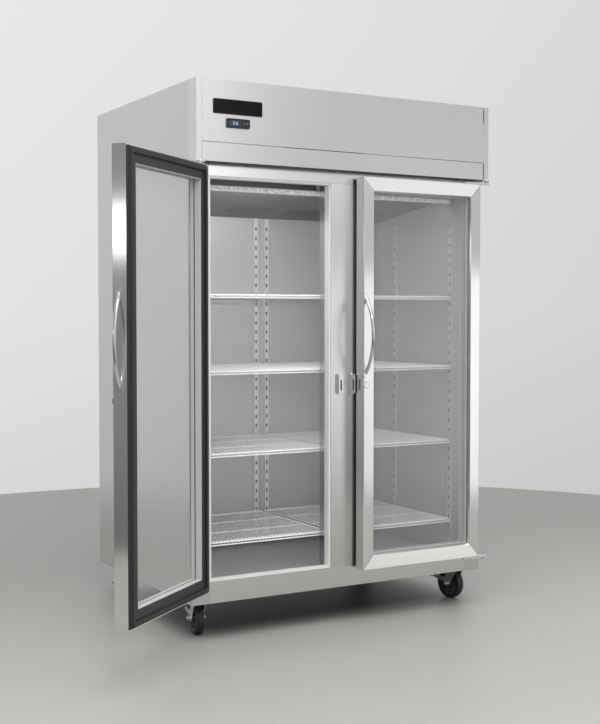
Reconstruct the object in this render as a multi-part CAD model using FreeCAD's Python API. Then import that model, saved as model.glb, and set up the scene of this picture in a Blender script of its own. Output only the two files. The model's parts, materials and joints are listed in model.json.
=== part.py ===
import FreeCAD, Part
import math
import os

os.makedirs("parts", exist_ok=True)

# Two-door reach-in glass door merchandiser on casters. Millimetres.
# +X is the viewer's right, +Y is the back, +Z is up. The origin is on the floor,
# below the middle of the cabinet's front face.

# ---- driving dimensions ----
WIDTH = 1321.0          # cabinet, side to side
DEPTH = 940.0           # cabinet front face to back panel
HEIGHT = 2048.0         # floor to top edge
SKIRT_Z = 134.0         # lower edge of the cabinet skirt
SHEET = 1.5             # stainless sheet
FOAM_GAP = 0.3          # gap between foam slabs and sheets

OPENING_INNER = 66.7    # door opening, edge beside the mullion
OPENING_OUTER = 588.7   # door opening, edge beside the corner post
OPENING_LOW = 214.0
OPENING_HIGH = 1706.0
POST_RETURN = 20.0      # depth of the folded front frame
MULLION_BACK = 84.0

BASE_Z = 152.0          # underside of the base panel, where the casters bolt on
LINER_X = 600.0         # inner face of each side liner
LINER_FLOOR = 193.0
LINER_CEILING = 1712.0
LINER_BACK = 876.0
DUCT_FRONT = 700.0      # visible rear wall of the storage space
DECK_Z = 1750.0         # underside of the machine deck

CANOPY_OUT = 50.0       # canopy stands this far in front of the cabinet face
CANOPY_LOW = 1752.0
CANOPY_SEAM = 1820.0
FLANGE = 22.0           # canopy end flange width

DOOR_INNER = 42.0       # free edge of a closed door, from the centre plane
DOOR_OUTER = 610.0      # hinge edge of a closed door
DOOR_LOW = 202.5
DOOR_HIGH = 1731.5
DOOR_FRONT = -66.0
DOOR_REAR = -14.0
FREE_STILE = 52.0
HINGE_STILE = 53.0
TOP_RAIL = 56.5
BOTTOM_RAIL = 59.0
GASKET_REAR = -0.6
LEFT_DOOR_OPEN = 141.5  # degrees the left door stands open at rest

PIVOT_X = 648.0
PIVOT_Y = -56.0
PIN_R = 6.0
PIN_CLEAR = 0.05

HANDLE_Z = 1120.0
HANDLE_SPAN = 300.0
HANDLE_RISE = 58.0      # pull on the right door's face
EDGE_HANDLE_RISE = 40.0 # shallower pull on the left door's edge
HANDLE_R = 6.5
HANDLE_INSET = 11.0     # handle centre line from the door's free edge
LOCK_Z = 928.0
LOCK_R = 7.5

SHELF_TOPS = (341.0, 676.0, 988.0, 1278.0)
SHELF_FRONT = 93.0
SHELF_BACK = 690.0
SHELF_END = 588.0
SHELF_MIDDLE = 10.0
SHELF_ROD = 6.0
SHELF_WIRE = 3.0
SHELF_PITCH = 15.0

WHEEL_R = 63.5
WHEEL_W = 32.0
CASTER_X = 600.0
CASTER_FRONT_Y = 72.0
CASTER_BACK_Y = 868.0
CASTER_TRAIL = 34.0
AXLE_R = 6.0

HALF = WIDTH / 2
Z_AXIS = FreeCAD.Vector(0, 0, 1)


# ---- helpers ----
def vec(x, y, z):
    return FreeCAD.Vector(x, y, z)


def box(x0, x1, y0, y1, z0, z1):
    return Part.makeBox(x1 - x0, y1 - y0, z1 - z0, vec(x0, y0, z0))


def rod(start, end, radius):
    span = end.sub(start)
    return Part.makeCylinder(radius, span.Length, start, span)


def fuse(shapes):
    if len(shapes) == 1:
        return shapes[0]
    return shapes[0].multiFuse(shapes[1:]).removeSplitter()


def cut(shape, tools):
    return shape.cut(Part.makeCompound(tools))


def group(shapes):
    solids = []
    for shape in shapes:
        solids.extend(shape.Solids)
    return Part.makeCompound(solids)


def mirrored(shape):
    return shape.mirror(vec(0, 0, 0), vec(1, 0, 0))


def turned(shape, x, y, degrees):
    moved = shape.copy()
    moved.rotate(vec(x, y, 0), Z_AXIS, degrees)
    return moved


def pipe(points, radius, bend):
    """Tube through points, with each inner corner rounded to the bend radius."""
    edges = []
    start = points[0]
    for before, corner, after in zip(points, points[1:], points[2:]):
        into = corner.sub(before).normalize()
        out = after.sub(corner).normalize()
        turn = into.getAngle(out)
        set_back = bend * math.tan(turn / 2)
        first = corner.sub(into * set_back)
        last = corner.add(out * set_back)
        inward = out.sub(into).normalize()
        middle = corner.add(inward * (bend / math.cos(turn / 2) - bend))
        edges.append(Part.LineSegment(start, first).toShape())
        edges.append(Part.Arc(first, middle, last).toShape())
        start = last
    edges.append(Part.LineSegment(start, points[-1]).toShape())
    ring = Part.makeCircle(radius, points[0], points[1].sub(points[0]))
    return Part.Wire(edges).makePipeShell([Part.Wire(ring)], True, False)


def export(shape, name):
    shape.exportStep("parts/" + name + ".step")


# ---- cabinet shell ----
def side_panel_right():
    panel = box(HALF - SHEET, HALF, POST_RETURN, DEPTH, SKIRT_Z, HEIGHT)
    hem = box(HALF - 14, HALF - SHEET, POST_RETURN, DEPTH - SHEET, HEIGHT - SHEET, HEIGHT)
    return fuse([panel, hem])


def back_panel():
    inner = HALF - SHEET - FOAM_GAP
    panel = box(-inner, inner, DEPTH - SHEET, DEPTH, SKIRT_Z, HEIGHT)
    slots = []
    slot_width = 220.0
    slot_height = 7.0
    first_slot = 1800.0
    slot_pitch = 24.0
    for row in range(9):
        for middle in (-390.0, -130.0, 130.0, 390.0):
            low = first_slot + slot_pitch * row
            left = middle - slot_width / 2
            slots.append(box(left, left + slot_width, DEPTH - 5, DEPTH + 5, low, low + slot_height))
    return cut(panel, slots)


def base_panel():
    inner = HALF - SHEET - FOAM_GAP
    return box(-inner, inner, POST_RETURN + FOAM_GAP, DEPTH - SHEET - FOAM_GAP, BASE_Z, BASE_Z + 2)


def corner_post():
    """Folded post: a face, an outer return that meets the side panel, an inner return."""
    top = CANOPY_LOW - 0.2
    face = box(OPENING_OUTER, HALF, 0, SHEET, SKIRT_Z, top)
    outer = box(HALF - SHEET, HALF, 0, POST_RETURN - 0.3, SKIRT_Z, top)
    inner = box(OPENING_OUTER, OPENING_OUTER + SHEET, 0, POST_RETURN - 0.3, SKIRT_Z, top)
    return fuse([face, outer, inner])


def front_rails():
    reach = OPENING_OUTER - 0.3
    top = CANOPY_LOW - 0.2
    header = fuse([
        box(-reach, reach, 0, SHEET, OPENING_HIGH, top),
        box(-reach, reach, 0, POST_RETURN - 0.3, OPENING_HIGH, OPENING_HIGH + SHEET),
    ])
    sill = fuse([
        box(-reach, reach, 0, SHEET, SKIRT_Z, OPENING_LOW),
        box(-reach, reach, 0, POST_RETURN - 0.3, OPENING_LOW - SHEET, OPENING_LOW),
    ])
    return group([header, sill])


def mullion():
    low = OPENING_LOW + 0.2
    high = OPENING_HIGH - 0.2
    tube = box(-OPENING_INNER, OPENING_INNER, 0, MULLION_BACK, low, high)
    wall = SHEET
    hollow = box(-OPENING_INNER + wall, OPENING_INNER - wall, wall, MULLION_BACK - wall,
                 low + wall, high - wall)
    return tube.cut(hollow)


def insulation():
    outer_x = HALF - SHEET - FOAM_GAP
    inner_x = LINER_X + SHEET + FOAM_GAP
    front = POST_RETURN + FOAM_GAP
    back = DEPTH - SHEET - FOAM_GAP
    low = BASE_Z + 2 + FOAM_GAP
    high = DECK_Z - FOAM_GAP
    side = box(inner_x, outer_x, front, back, low, high)
    across = inner_x - FOAM_GAP
    rear_front = LINER_BACK + SHEET + FOAM_GAP
    rear = box(-across, across, rear_front, back, low, high)
    floor = box(-across, across, front, rear_front - FOAM_GAP, low, LINER_FLOOR - SHEET - FOAM_GAP)
    ceiling = box(-across, across, front, rear_front - FOAM_GAP, LINER_CEILING + SHEET + FOAM_GAP, high)
    return group([side, mirrored(side), rear, floor, ceiling])


def cabinet_liner():
    front = POST_RETURN + FOAM_GAP
    side = box(LINER_X, LINER_X + SHEET, front, LINER_BACK - 0.2, LINER_FLOOR, LINER_CEILING)
    across = LINER_X - 0.2
    rear = box(-across, across, LINER_BACK, LINER_BACK + SHEET, LINER_FLOOR, LINER_CEILING)
    floor = box(-across, across, front, LINER_BACK - 0.2, LINER_FLOOR - SHEET, LINER_FLOOR - 0.2)
    ceiling = box(-across, across, front, LINER_BACK - 0.2, LINER_CEILING + 0.2, LINER_CEILING + SHEET)
    return group([side, mirrored(side), rear, floor, ceiling])


def breaker_ring():
    """Plastic strip round the inside of the right door opening."""
    gap = 0.3
    width = 8.0
    front = 2.0
    back = 34.0
    outer = box(OPENING_INNER + gap, OPENING_OUTER - gap, front, back, OPENING_LOW + gap, OPENING_HIGH - gap)
    inner = box(OPENING_INNER + width, OPENING_OUTER - width, front - 1, back + 1,
                OPENING_LOW + width, OPENING_HIGH - width)
    return outer.cut(inner)


# ---- canopy ----
CANOPY_FIT = 0.5        # gap between the canopy sheets and the end flanges
CANOPY_JOINT = 2.5      # open joint above the lower strip
CANOPY_TOP_HEM = 40.0
CANOPY_HEM = 14.0
END_SLOT = 4.0          # wider gap beside the right flange, where the sheets spring out
END_SLOT_HIGH = 64.0    # depth of that gap at the top corner


def canopy_panel():
    end = HALF - FLANGE - CANOPY_FIT
    front = -CANOPY_OUT
    low = CANOPY_SEAM + CANOPY_JOINT
    face = box(-end, end, front, front + SHEET, low, HEIGHT)
    top = box(-end, end, front, front + CANOPY_TOP_HEM, HEIGHT - SHEET, HEIGHT)
    hem = box(-end, end, front, front + CANOPY_HEM, low, low + SHEET)
    corner = box(end - END_SLOT, HALF, front - SHEET, 0, HEIGHT - END_SLOT_HIGH, HEIGHT + SHEET)
    return fuse([face, top, hem]).cut(corner)


def canopy_lower_strip():
    left = -(HALF - FLANGE - CANOPY_FIT)
    right = HALF - FLANGE - END_SLOT
    front = -CANOPY_OUT
    face = box(left, right, front, front + SHEET, CANOPY_LOW, CANOPY_SEAM)
    soffit = box(left, right, front, -0.2, CANOPY_LOW, CANOPY_LOW + SHEET)
    shelf = box(left, right, front, front + CANOPY_HEM, CANOPY_SEAM - SHEET, CANOPY_SEAM)
    return fuse([face, soffit, shelf])


def canopy_end_cap():
    front = -CANOPY_OUT
    flange = box(HALF - FLANGE, HALF, front, front + SHEET, CANOPY_LOW, HEIGHT)
    side = box(HALF - SHEET, HALF, front, POST_RETURN - 0.3, CANOPY_LOW, HEIGHT)
    return fuse([flange, side])


BADGE = (-594.0, -394.0, 1924.0, 1978.0)        # left, right, low, high
BADGE_PROUD = 2.5
BADGE_CORNER = 6.0
CONTROL = (-541.0, -447.0, 1876.0, 1910.0)      # left, right, low, high
CONTROL_PROUD = 6.0
CONTROL_CORNER = 5.0
WINDOW_MARGIN = 7.0     # above and below the display
WINDOW_LEFT = 10.0
WINDOW_RIGHT = 62.0
WINDOW_FLOOR = 3.0      # distance of the display's back from the canopy face
BUTTON_X = (-470.0, -458.0)
BUTTON_R = 4.0
BUTTON_CLEAR = 0.4
BUTTON_PROUD = 7.0
BUTTON_BACK = 2.8


def rounded_plate(outline, front, back, corner):
    """Plate in the plane of the canopy face with rounded corners."""
    left, right, low, high = outline
    plate = box(left, right, front, back, low, high)
    upright = [edge for edge in plate.Edges if abs(edge.Vertexes[0].Y - edge.Vertexes[1].Y) > 1]
    return plate.makeFillet(corner, upright)


def badge_plate():
    return rounded_plate(BADGE, -CANOPY_OUT - BADGE_PROUD, -CANOPY_OUT, BADGE_CORNER)


def control_middle():
    return (CONTROL[2] + CONTROL[3]) / 2


def controller_bezel():
    left, _, low, high = CONTROL
    face = -CANOPY_OUT
    plate = rounded_plate(CONTROL, face - CONTROL_PROUD, face, CONTROL_CORNER)
    window = box(left + WINDOW_LEFT, left + WINDOW_RIGHT, face - CONTROL_PROUD - 1, face - WINDOW_FLOOR,
                 low + WINDOW_MARGIN, high - WINDOW_MARGIN)
    middle = control_middle()
    wells = [rod(vec(x, face - BUTTON_PROUD, middle), vec(x, face - SHEET, middle), BUTTON_R + BUTTON_CLEAR)
             for x in BUTTON_X]
    return cut(plate, [window] + wells)


def controller_display():
    left, _, low, high = CONTROL
    face = -CANOPY_OUT
    fit = 0.1
    return box(left + WINDOW_LEFT + fit, left + WINDOW_RIGHT - fit, face - CONTROL_PROUD + 1,
               face - WINDOW_FLOOR, low + WINDOW_MARGIN + fit, high - WINDOW_MARGIN - fit)


def controller_button(x):
    middle = control_middle()
    front = -CANOPY_OUT - BUTTON_PROUD
    button = rod(vec(x, front, middle), vec(x, -CANOPY_OUT - BUTTON_BACK, middle), BUTTON_R)
    return button.makeFillet(0.6, [edge for edge in button.Edges if edge.Vertexes[0].Y < front + 0.1])


# ---- refrigeration machinery ----
DECK_TOP = DECK_Z + 2.0
MOUNT_RAIL_X = (-300.0, 480.0)
MOUNT_RAIL_Y = (470.0, 620.0)
MOUNT_RAIL_W = 30.0
MOUNT_RAIL_H = 20.0

COMPRESSOR = (330.0, 560.0)
CAN_R = 82.0
CAN_LOW = 40.0          # above the base plate's underside
CAN_H = 120.0
DOME_FLATNESS = 0.45
COMPRESSOR_BASE = (105.0, 90.0, 5.0)    # half length, half width, thickness
FOOT_R = 14.0
FOOT_AT = (85.0, 70.0)
TERMINAL = (60.0, 100.0, 30.0, 60.0, 120.0)     # near x, far x, half width, low, high
STUB_X = -50.0
STUB_R = 9.0

COIL = (-230.0, 110.0, 66.0, 110.0)     # left, right, front, back
COIL_LOW = DECK_Z + 12.0
COIL_HIGH = DECK_Z + 262.0
COIL_FOOT = 20.0
END_PLATE = 2.0
END_PLATE_REACH = 6.0
COIL_FIN_PITCH = 10.0
COIL_FIN_GAP = 5.0
COIL_FIN_DEPTH = 8.0

FAN_X = -60.0
FAN_Y = 135.0
FAN_Z = 1900.0
FAN_R = 105.0
FAN_HUB = (22.0, 26.0)      # radius, length
SHROUD_BACK = 150.0
RING_GAP = 5.0              # between the blade tips and the shroud ring
EVAP_FAN = (0.0, 790.0)
EVAP_FAN_Z = 1655.0
EVAP_FAN_R = 72.0
EVAP_FAN_HUB = (18.0, 24.0)
SHAFT_R = 4.0
BLADES = 5
BLADE_PITCH = 24.0          # degrees
BLADE_W = 52.0
BLADE_T = 2.0
MOTOR_R = 42.0
MOTOR_Y = (160.0, 226.0)
MOTOR_FOOT_X = 60.0
EVAP_MOTOR_R = 32.0

DISCHARGE_R = 4.8
SUCTION_R = 8.0
LIQUID_R = 3.2
CONDENSER_PORT = (112.5, 88.0)      # x and y where the lines meet the condenser

EVAP_COIL = (480.0, 722.0, 852.0, 1380.0, 1560.0)   # half length, front, back, low, high
EVAP_FIN_PITCH = 24.0
EVAP_FIN_GAP = 12.0
PAN_DROP = (30.0, 10.0)     # drain pan's lower and upper face below the coil

JUNCTION = (-600.0, -470.0, 800.0, 920.0)
JUNCTION_H = 90.0
GLAND = (-535.0, 860.0)
GLAND_R = 13.0
GLAND_H = 28.0
GLAND_BORE_R = 6.0
COLLAR_R = 20.0
COLLAR_H = 6.0


def machine_deck():
    inner = HALF - SHEET - FOAM_GAP
    deck = box(-inner, inner, POST_RETURN + FOAM_GAP, DEPTH - SHEET - FOAM_GAP, DECK_Z, DECK_TOP)
    left, right = MOUNT_RAIL_X
    rails = [box(left, right, y, y + MOUNT_RAIL_W, DECK_TOP, DECK_TOP + MOUNT_RAIL_H) for y in MOUNT_RAIL_Y]
    return fuse([deck] + rails)


def compressor():
    x, y = COMPRESSOR
    low = DECK_TOP + MOUNT_RAIL_H
    half_x, half_y, thick = COMPRESSOR_BASE
    base = box(x - half_x, x + half_x, y - half_y, y + half_y, low, low + thick)
    can = Part.makeCylinder(CAN_R, CAN_H, vec(x, y, low + CAN_LOW))
    flat = FreeCAD.Matrix()
    flat.scale(1.0, 1.0, DOME_FLATNESS)
    dome = Part.makeSphere(CAN_R).transformGeometry(flat)
    top = dome.copy()
    top.translate(vec(x, y, low + CAN_LOW + CAN_H))
    bottom = dome.copy()
    bottom.translate(vec(x, y, low + CAN_LOW))
    near, far, half, box_low, box_high = TERMINAL
    terminal = box(x + near, x + far, y - half, y + half, low + box_low, low + box_high)
    foot_x, foot_y = FOOT_AT
    feet = [Part.makeCylinder(FOOT_R, 2 * thick, vec(x + dx, y + dy, low))
            for dx in (-foot_x, foot_x) for dy in (-foot_y, foot_y)]
    stub = Part.makeCylinder(STUB_R, 40, vec(x + STUB_X, y, low + CAN_LOW + CAN_H + 5))
    return fuse([base, can, top, bottom, terminal, stub] + feet)


def fin_grooves(left, right, pitch, gap, front, back, low, high):
    """Vertical grooves that show a block as a stack of fins."""
    grooves = []
    for index in range(1, int((right - left) / pitch)):
        x = left + pitch * index
        grooves.append(box(x - gap / 2, x + gap / 2, front, back, low, high))
    return grooves


def condenser_coil():
    left, right, front, back = COIL
    plate_front = front - END_PLATE_REACH
    plate_back = back + END_PLATE_REACH
    block = box(left, right, front, back, COIL_LOW, COIL_HIGH)
    feet = [box(x, x + COIL_FOOT + END_PLATE, plate_front, plate_back, DECK_TOP, COIL_LOW)
            for x in (left - END_PLATE, right - COIL_FOOT)]
    ends = [box(x, x + END_PLATE, plate_front, plate_back, COIL_LOW, COIL_HIGH)
            for x in (left - END_PLATE, right)]
    margin = 5.0
    grooves = fin_grooves(left, right, COIL_FIN_PITCH, COIL_FIN_GAP, front - 1, front + COIL_FIN_DEPTH,
                          COIL_LOW + margin, COIL_HIGH - margin)
    return cut(fuse([block] + feet + ends), grooves)


def fan_shroud():
    left, right = COIL[0] - END_PLATE, COIL[1] + END_PLATE
    front = COIL[3] + END_PLATE_REACH + 0.5
    inner = FAN_R + RING_GAP
    plate = box(left, right, front, front + END_PLATE, COIL_LOW, COIL_HIGH)
    ring = rod(vec(FAN_X, front + END_PLATE, FAN_Z), vec(FAN_X, SHROUD_BACK + 2, FAN_Z), inner + 3)
    hole = rod(vec(FAN_X, front - 1, FAN_Z), vec(FAN_X, SHROUD_BACK + 10, FAN_Z), inner)
    foot = box(left, right, front, SHROUD_BACK, DECK_TOP, DECK_TOP + END_PLATE)
    webs = [box(x, x + END_PLATE, front, SHROUD_BACK, DECK_TOP, COIL_LOW + COIL_FOOT)
            for x in (left, right - END_PLATE)]
    return fuse([plate, ring, foot] + webs).cut(hole)


def fan_blades(radius, hub_r, length):
    """Axial fan on +Z: pitched blades on a hub, centred on z = 0."""
    hub = Part.makeCylinder(hub_r, length, vec(0, 0, -length / 2))
    blades = []
    for index in range(BLADES):
        blade = box(hub_r - 4, radius, -BLADE_W / 2, BLADE_W / 2, -BLADE_T / 2, BLADE_T / 2)
        blade.rotate(vec(0, 0, 0), vec(1, 0, 0), BLADE_PITCH)
        blade.rotate(vec(0, 0, 0), Z_AXIS, 360.0 / BLADES * index)
        blades.append(blade)
    bore = Part.makeCylinder(SHAFT_R + PIN_CLEAR, length + 2, vec(0, 0, -length / 2 - 1))
    round_tips = Part.makeCylinder(radius, 2 * BLADE_W, vec(0, 0, -BLADE_W))
    return fuse([hub] + blades).common(round_tips).cut(bore)


def condenser_fan():
    fan = fan_blades(FAN_R, *FAN_HUB)
    fan.rotate(vec(0, 0, 0), vec(1, 0, 0), -90)
    fan.translate(vec(FAN_X, FAN_Y, FAN_Z))
    return fan


def evaporator_fan():
    fan = fan_blades(EVAP_FAN_R, *EVAP_FAN_HUB)
    fan.translate(vec(EVAP_FAN[0], EVAP_FAN[1], EVAP_FAN_Z))
    return fan


def condenser_motor():
    x, z = FAN_X, FAN_Z
    front, back = MOTOR_Y
    body = rod(vec(x, front, z), vec(x, back, z), MOTOR_R)
    shaft = rod(vec(x, FAN_Y - FAN_HUB[1] / 2, z), vec(x, front + 5, z), SHAFT_R)
    arm = box(x - 6, x + 6, 190, 200, DECK_TOP, z - 30)
    foot = box(x - MOTOR_FOOT_X, x + MOTOR_FOOT_X, front + 10, back, DECK_TOP, DECK_TOP + 4)
    return fuse([body, shaft, arm, foot])


def evaporator_motor():
    x, y = EVAP_FAN
    low = EVAP_FAN_Z + EVAP_FAN_HUB[1] / 2 + 5
    cup = Part.makeCylinder(EVAP_MOTOR_R, LINER_CEILING - low, vec(x, y, low))
    pin = Part.makeCylinder(SHAFT_R, 40, vec(x, y, EVAP_FAN_Z - EVAP_FAN_HUB[1] / 2))
    return fuse([cup, pin])


def fan_motors():
    return group([condenser_motor(), evaporator_motor()])


def refrigerant_lines():
    cx, cy = COMPRESSOR
    port_x, port_y = CONDENSER_PORT
    top = DECK_TOP + MOUNT_RAIL_H + CAN_LOW + CAN_H + 45
    high = top + 30
    stub = cx + STUB_X
    discharge = pipe([vec(stub, cy, top + 1), vec(stub, cy, high), vec(stub, 300, high),
                      vec(150, 300, high), vec(150, port_y, high), vec(port_x, port_y, high)], DISCHARGE_R, 14)
    crown = top + 10
    suction = pipe([vec(cx, cy + 40, top - 6), vec(cx, cy + 40, crown), vec(cx, 820, crown),
                    vec(200, 820, crown), vec(200, 820, DECK_TOP + 0.5)], SUCTION_R, 24)
    low = DECK_Z + 50
    raised = DECK_Z + 90
    liquid = pipe([vec(port_x, port_y, low), vec(170, port_y, low), vec(170, 400, low),
                   vec(170, 400, raised), vec(170, 780, raised), vec(170, 780, DECK_TOP + 0.5)], LIQUID_R, 14)
    return group([discharge, suction, liquid])


def evaporator_coil():
    half, front, back, low, high = EVAP_COIL
    core = box(-half, half, front, back, low, high)
    grooves = fin_grooves(-half, half, EVAP_FIN_PITCH, EVAP_FIN_GAP, front - 1, front + EVAP_FIN_GAP,
                          low + 6, high - 6)
    core = cut(core, grooves)
    pan_low, pan_high = PAN_DROP
    pan = box(-half - 20, half + 20, front - 6, back + 6, low - pan_low, low - pan_high)
    support = box(-half, half, front + 20, back - 20, low - pan_high, low)
    hangers = [box(x, x + 3, front, LINER_BACK, low - pan_high, high) for x in (-half - 4, half + 1)]
    return fuse([core, pan, support] + hangers)


COVER_FRONT = 150.0
COVER_FRONT_Z = 1690.0
COVER_BACK_Z = 1621.0


def evaporator_cover():
    """Sloping air panel under the ceiling, lower at the back, with rows of slots."""
    end = LINER_X - 1.0
    back = DUCT_FRONT - 0.5
    points = [
        vec(-end, COVER_FRONT, LINER_CEILING - 0.3),
        vec(-end, COVER_FRONT, COVER_FRONT_Z),
        vec(-end, back, COVER_BACK_Z),
        vec(-end, back, COVER_BACK_Z + 2),
        vec(-end, COVER_FRONT + 2, COVER_FRONT_Z + 2),
        vec(-end, COVER_FRONT + 2, LINER_CEILING - 0.3),
    ]
    outline = Part.makePolygon(points + [points[0]])
    panel = Part.Face(outline).extrude(vec(2 * end, 0, 0))
    slots = []
    for middle in (-420.0, -140.0, 140.0, 420.0):
        for row in range(5):
            y = 500.0 + 22.0 * row
            slots.append(box(middle - 100, middle + 100, y, y + 8, 1600, 1700))
    return cut(panel, slots)


def rear_duct_panel():
    """Visible rear wall. Air rises and falls behind it."""
    end = LINER_X - 0.4
    panel = box(-end, end, DUCT_FRONT, DUCT_FRONT + SHEET, LINER_FLOOR + 30, LINER_CEILING - 0.4)
    return panel


def power_inlet():
    left, right, front, back = JUNCTION
    x, y = GLAND
    top = DECK_TOP + JUNCTION_H
    case = box(left, right, front, back, DECK_TOP, top)
    collar = rod(vec(x, y, top), vec(x, y, top + COLLAR_H), COLLAR_R)
    gland = rod(vec(x, y, top + COLLAR_H), vec(x, y, top + GLAND_H), GLAND_R)
    bore = rod(vec(x, y, top - 10), vec(x, y, top + GLAND_H + 10), GLAND_BORE_R)
    return fuse([case, collar, gland]).cut(bore)


# ---- interior fittings ----
LIGHT_Y = 110.0
LIGHT_Z = 1676.0


def light_bar():
    left, right = 30.0, 585.0
    lens = box(left, right, LIGHT_Y - 14, LIGHT_Y + 14, LIGHT_Z - 12, LIGHT_Z + 8)
    lower = [edge for edge in lens.Edges
             if abs(edge.Vertexes[0].X - edge.Vertexes[1].X) > 1 and edge.Vertexes[0].Z < LIGHT_Z]
    lens = lens.makeFillet(9, lower)
    stems = [box(x, x + 12, LIGHT_Y - 8, LIGHT_Y + 8, LIGHT_Z + 8, LINER_CEILING - 0.3)
             for x in (left + 20, right - 40)]
    return fuse([lens] + stems)


PILASTER_W = 20.0
PILASTER_T = 7.0
PILASTER_LOW = 235.0
PILASTER_HIGH = 1600.0
SLOT_PITCH = 41.0


def pilaster_flat():
    """Slotted strip standing on z, back at y = 0, front at y = -PILASTER_T, centred on x = 0."""
    half = PILASTER_W / 2
    strip = box(-half, half, -PILASTER_T, 0, PILASTER_LOW, PILASTER_HIGH)
    hollow = box(-half + 1.5, half - 1.5, -PILASTER_T + 1.5, 1, PILASTER_LOW - 1, PILASTER_HIGH + 1)
    slots = []
    z = PILASTER_LOW + 20
    while z < PILASTER_HIGH - 20:
        slots.append(box(-3.5, 3.5, -PILASTER_T - 1, -PILASTER_T + 3, z, z + 14))
        z += SLOT_PITCH
    return cut(strip.cut(hollow), slots)


PILASTER_REAR_X = (-575.0, -26.0, 26.0, 575.0)
PILASTER_SIDE_Y = (120.0, 528.0)


def pilasters():
    strip = pilaster_flat()
    placed = []
    for x in PILASTER_REAR_X:
        piece = strip.copy()
        piece.translate(vec(x, DUCT_FRONT, 0))
        placed.append(piece)
    for x in (-26.0, 26.0):
        piece = turned(strip, 0, 0, 180)
        piece.translate(vec(x, MULLION_BACK, 0))
        placed.append(piece)
    for y in PILASTER_SIDE_Y:
        right = turned(strip, 0, 0, -90)
        right.translate(vec(LINER_X, y, 0))
        placed.append(right)
        placed.append(mirrored(right))
    return group(placed)


def clip(x, y, top, toward):
    """Shelf clip: a tab on the pilaster's face and a ledge under the shelf rod."""
    tab = 1.5
    reach = 14.0
    wide = 5.0
    low = top - SHELF_ROD - 16
    if toward == "back":
        parts = [box(x - wide, x + wide, y - tab, y, low, top - 2),
                 box(x - wide, x + wide, y - reach, y, low, low + 1.5),
                 box(x - 1, x + 1, y - reach, y, low, top - SHELF_ROD - 0.2)]
    elif toward == "front":
        parts = [box(x - wide, x + wide, y, y + tab, low, top - 2),
                 box(x - wide, x + wide, y, y + reach, low, low + 1.5),
                 box(x - 1, x + 1, y, y + reach, low, top - SHELF_ROD - 0.2)]
    else:
        parts = [box(x - tab, x, y - wide, y + wide, low, top - 2),
                 box(x - reach, x, y - wide, y + wide, low, low + 1.5),
                 box(x - reach, x, y - 1, y + 1, low, top - SHELF_ROD - 0.2)]
    return fuse(parts)


def shelf_clips():
    clips = []
    back = DUCT_FRONT - PILASTER_T - 0.1
    front = MULLION_BACK + PILASTER_T + 0.1
    side = LINER_X - PILASTER_T - 0.1
    for top in SHELF_TOPS:
        right = [
            clip(575.0, back, top, "back"),
            clip(26.0, back, top, "back"),
            clip(26.0, front, top, "front"),
            clip(side, PILASTER_SIDE_Y[0], top, "side"),
        ]
        clips.extend(right)
        clips.extend(mirrored(piece) for piece in right)
    return group(clips)


def wire_shelf():
    """Wire shelf of the right side with its wires' crown at z = 0."""
    rod_top = -SHELF_WIRE + 0.6
    x0, x1 = SHELF_MIDDLE + 2.0, SHELF_END - 2.0
    y0, y1 = SHELF_FRONT + 2, SHELF_BACK
    bars = []
    for y in (y0, 0.68 * y0 + 0.32 * y1, 0.34 * y0 + 0.66 * y1, y1 - SHELF_ROD):
        bars.append(box(x0, x1, y, y + SHELF_ROD, -SHELF_ROD, rod_top))
    for x in (x0, x1 - SHELF_ROD):
        bars.append(box(x, x + SHELF_ROD, y0, y1, -SHELF_ROD, rod_top))
    bars.append(box(x0, x1, SHELF_FRONT, y0 + 1, -SHELF_WIRE, 0))
    count = int((x1 - x0 - 2 * SHELF_ROD) / SHELF_PITCH)
    step = (x1 - x0 - SHELF_ROD) / (count + 1)
    for index in range(count):
        x = x0 + SHELF_ROD / 2 + step * (index + 1)
        bars.append(box(x - SHELF_WIRE / 2, x + SHELF_WIRE / 2, SHELF_FRONT + 1, y1, -SHELF_WIRE, 0))
    return fuse(bars)


# ---- doors, modelled as the right door, closed ----
def window_ring(margin_out, hole, front, rear):
    """Ring between the door's outline less a margin and a window of given half stile sizes."""
    outer = box(DOOR_INNER + margin_out, DOOR_OUTER - margin_out, front, rear,
                DOOR_LOW + margin_out, DOOR_HIGH - margin_out)
    left, right, low, high = hole
    return outer.cut(box(left, right, front - 1, rear + 1, low, high))


WINDOW = (DOOR_INNER + FREE_STILE, DOOR_OUTER - HINGE_STILE, DOOR_LOW + BOTTOM_RAIL, DOOR_HIGH - TOP_RAIL)


def grown(hole, by):
    left, right, low, high = hole
    return (left - by, right + by, low - by, high + by)


REBATE_FRONT = -54.0
GLASS_LAP = 11.0
LOCK_X = DOOR_INNER + HANDLE_INSET
LOCK_DEPTH = 22.0


def mitre_grooves():
    """Fine grooves across the four welded corners of the front face."""
    grooves = []
    left, right, low, high = WINDOW
    corners = [(DOOR_INNER, DOOR_LOW, left, low), (DOOR_OUTER, DOOR_LOW, right, low),
               (DOOR_INNER, DOOR_HIGH, left, high), (DOOR_OUTER, DOOR_HIGH, right, high)]
    for x0, z0, x1, z1 in corners:
        length = math.hypot(x1 - x0, z1 - z0) - 1
        groove = box(0.5, length, DOOR_FRONT - 1, DOOR_FRONT + 0.4, -0.3, 0.3)
        groove.rotate(vec(0, 0, 0), vec(0, 1, 0), -math.degrees(math.atan2(z1 - z0, x1 - x0)))
        groove.translate(vec(x0, 0, z0))
        grooves.append(groove)
    return grooves


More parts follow.
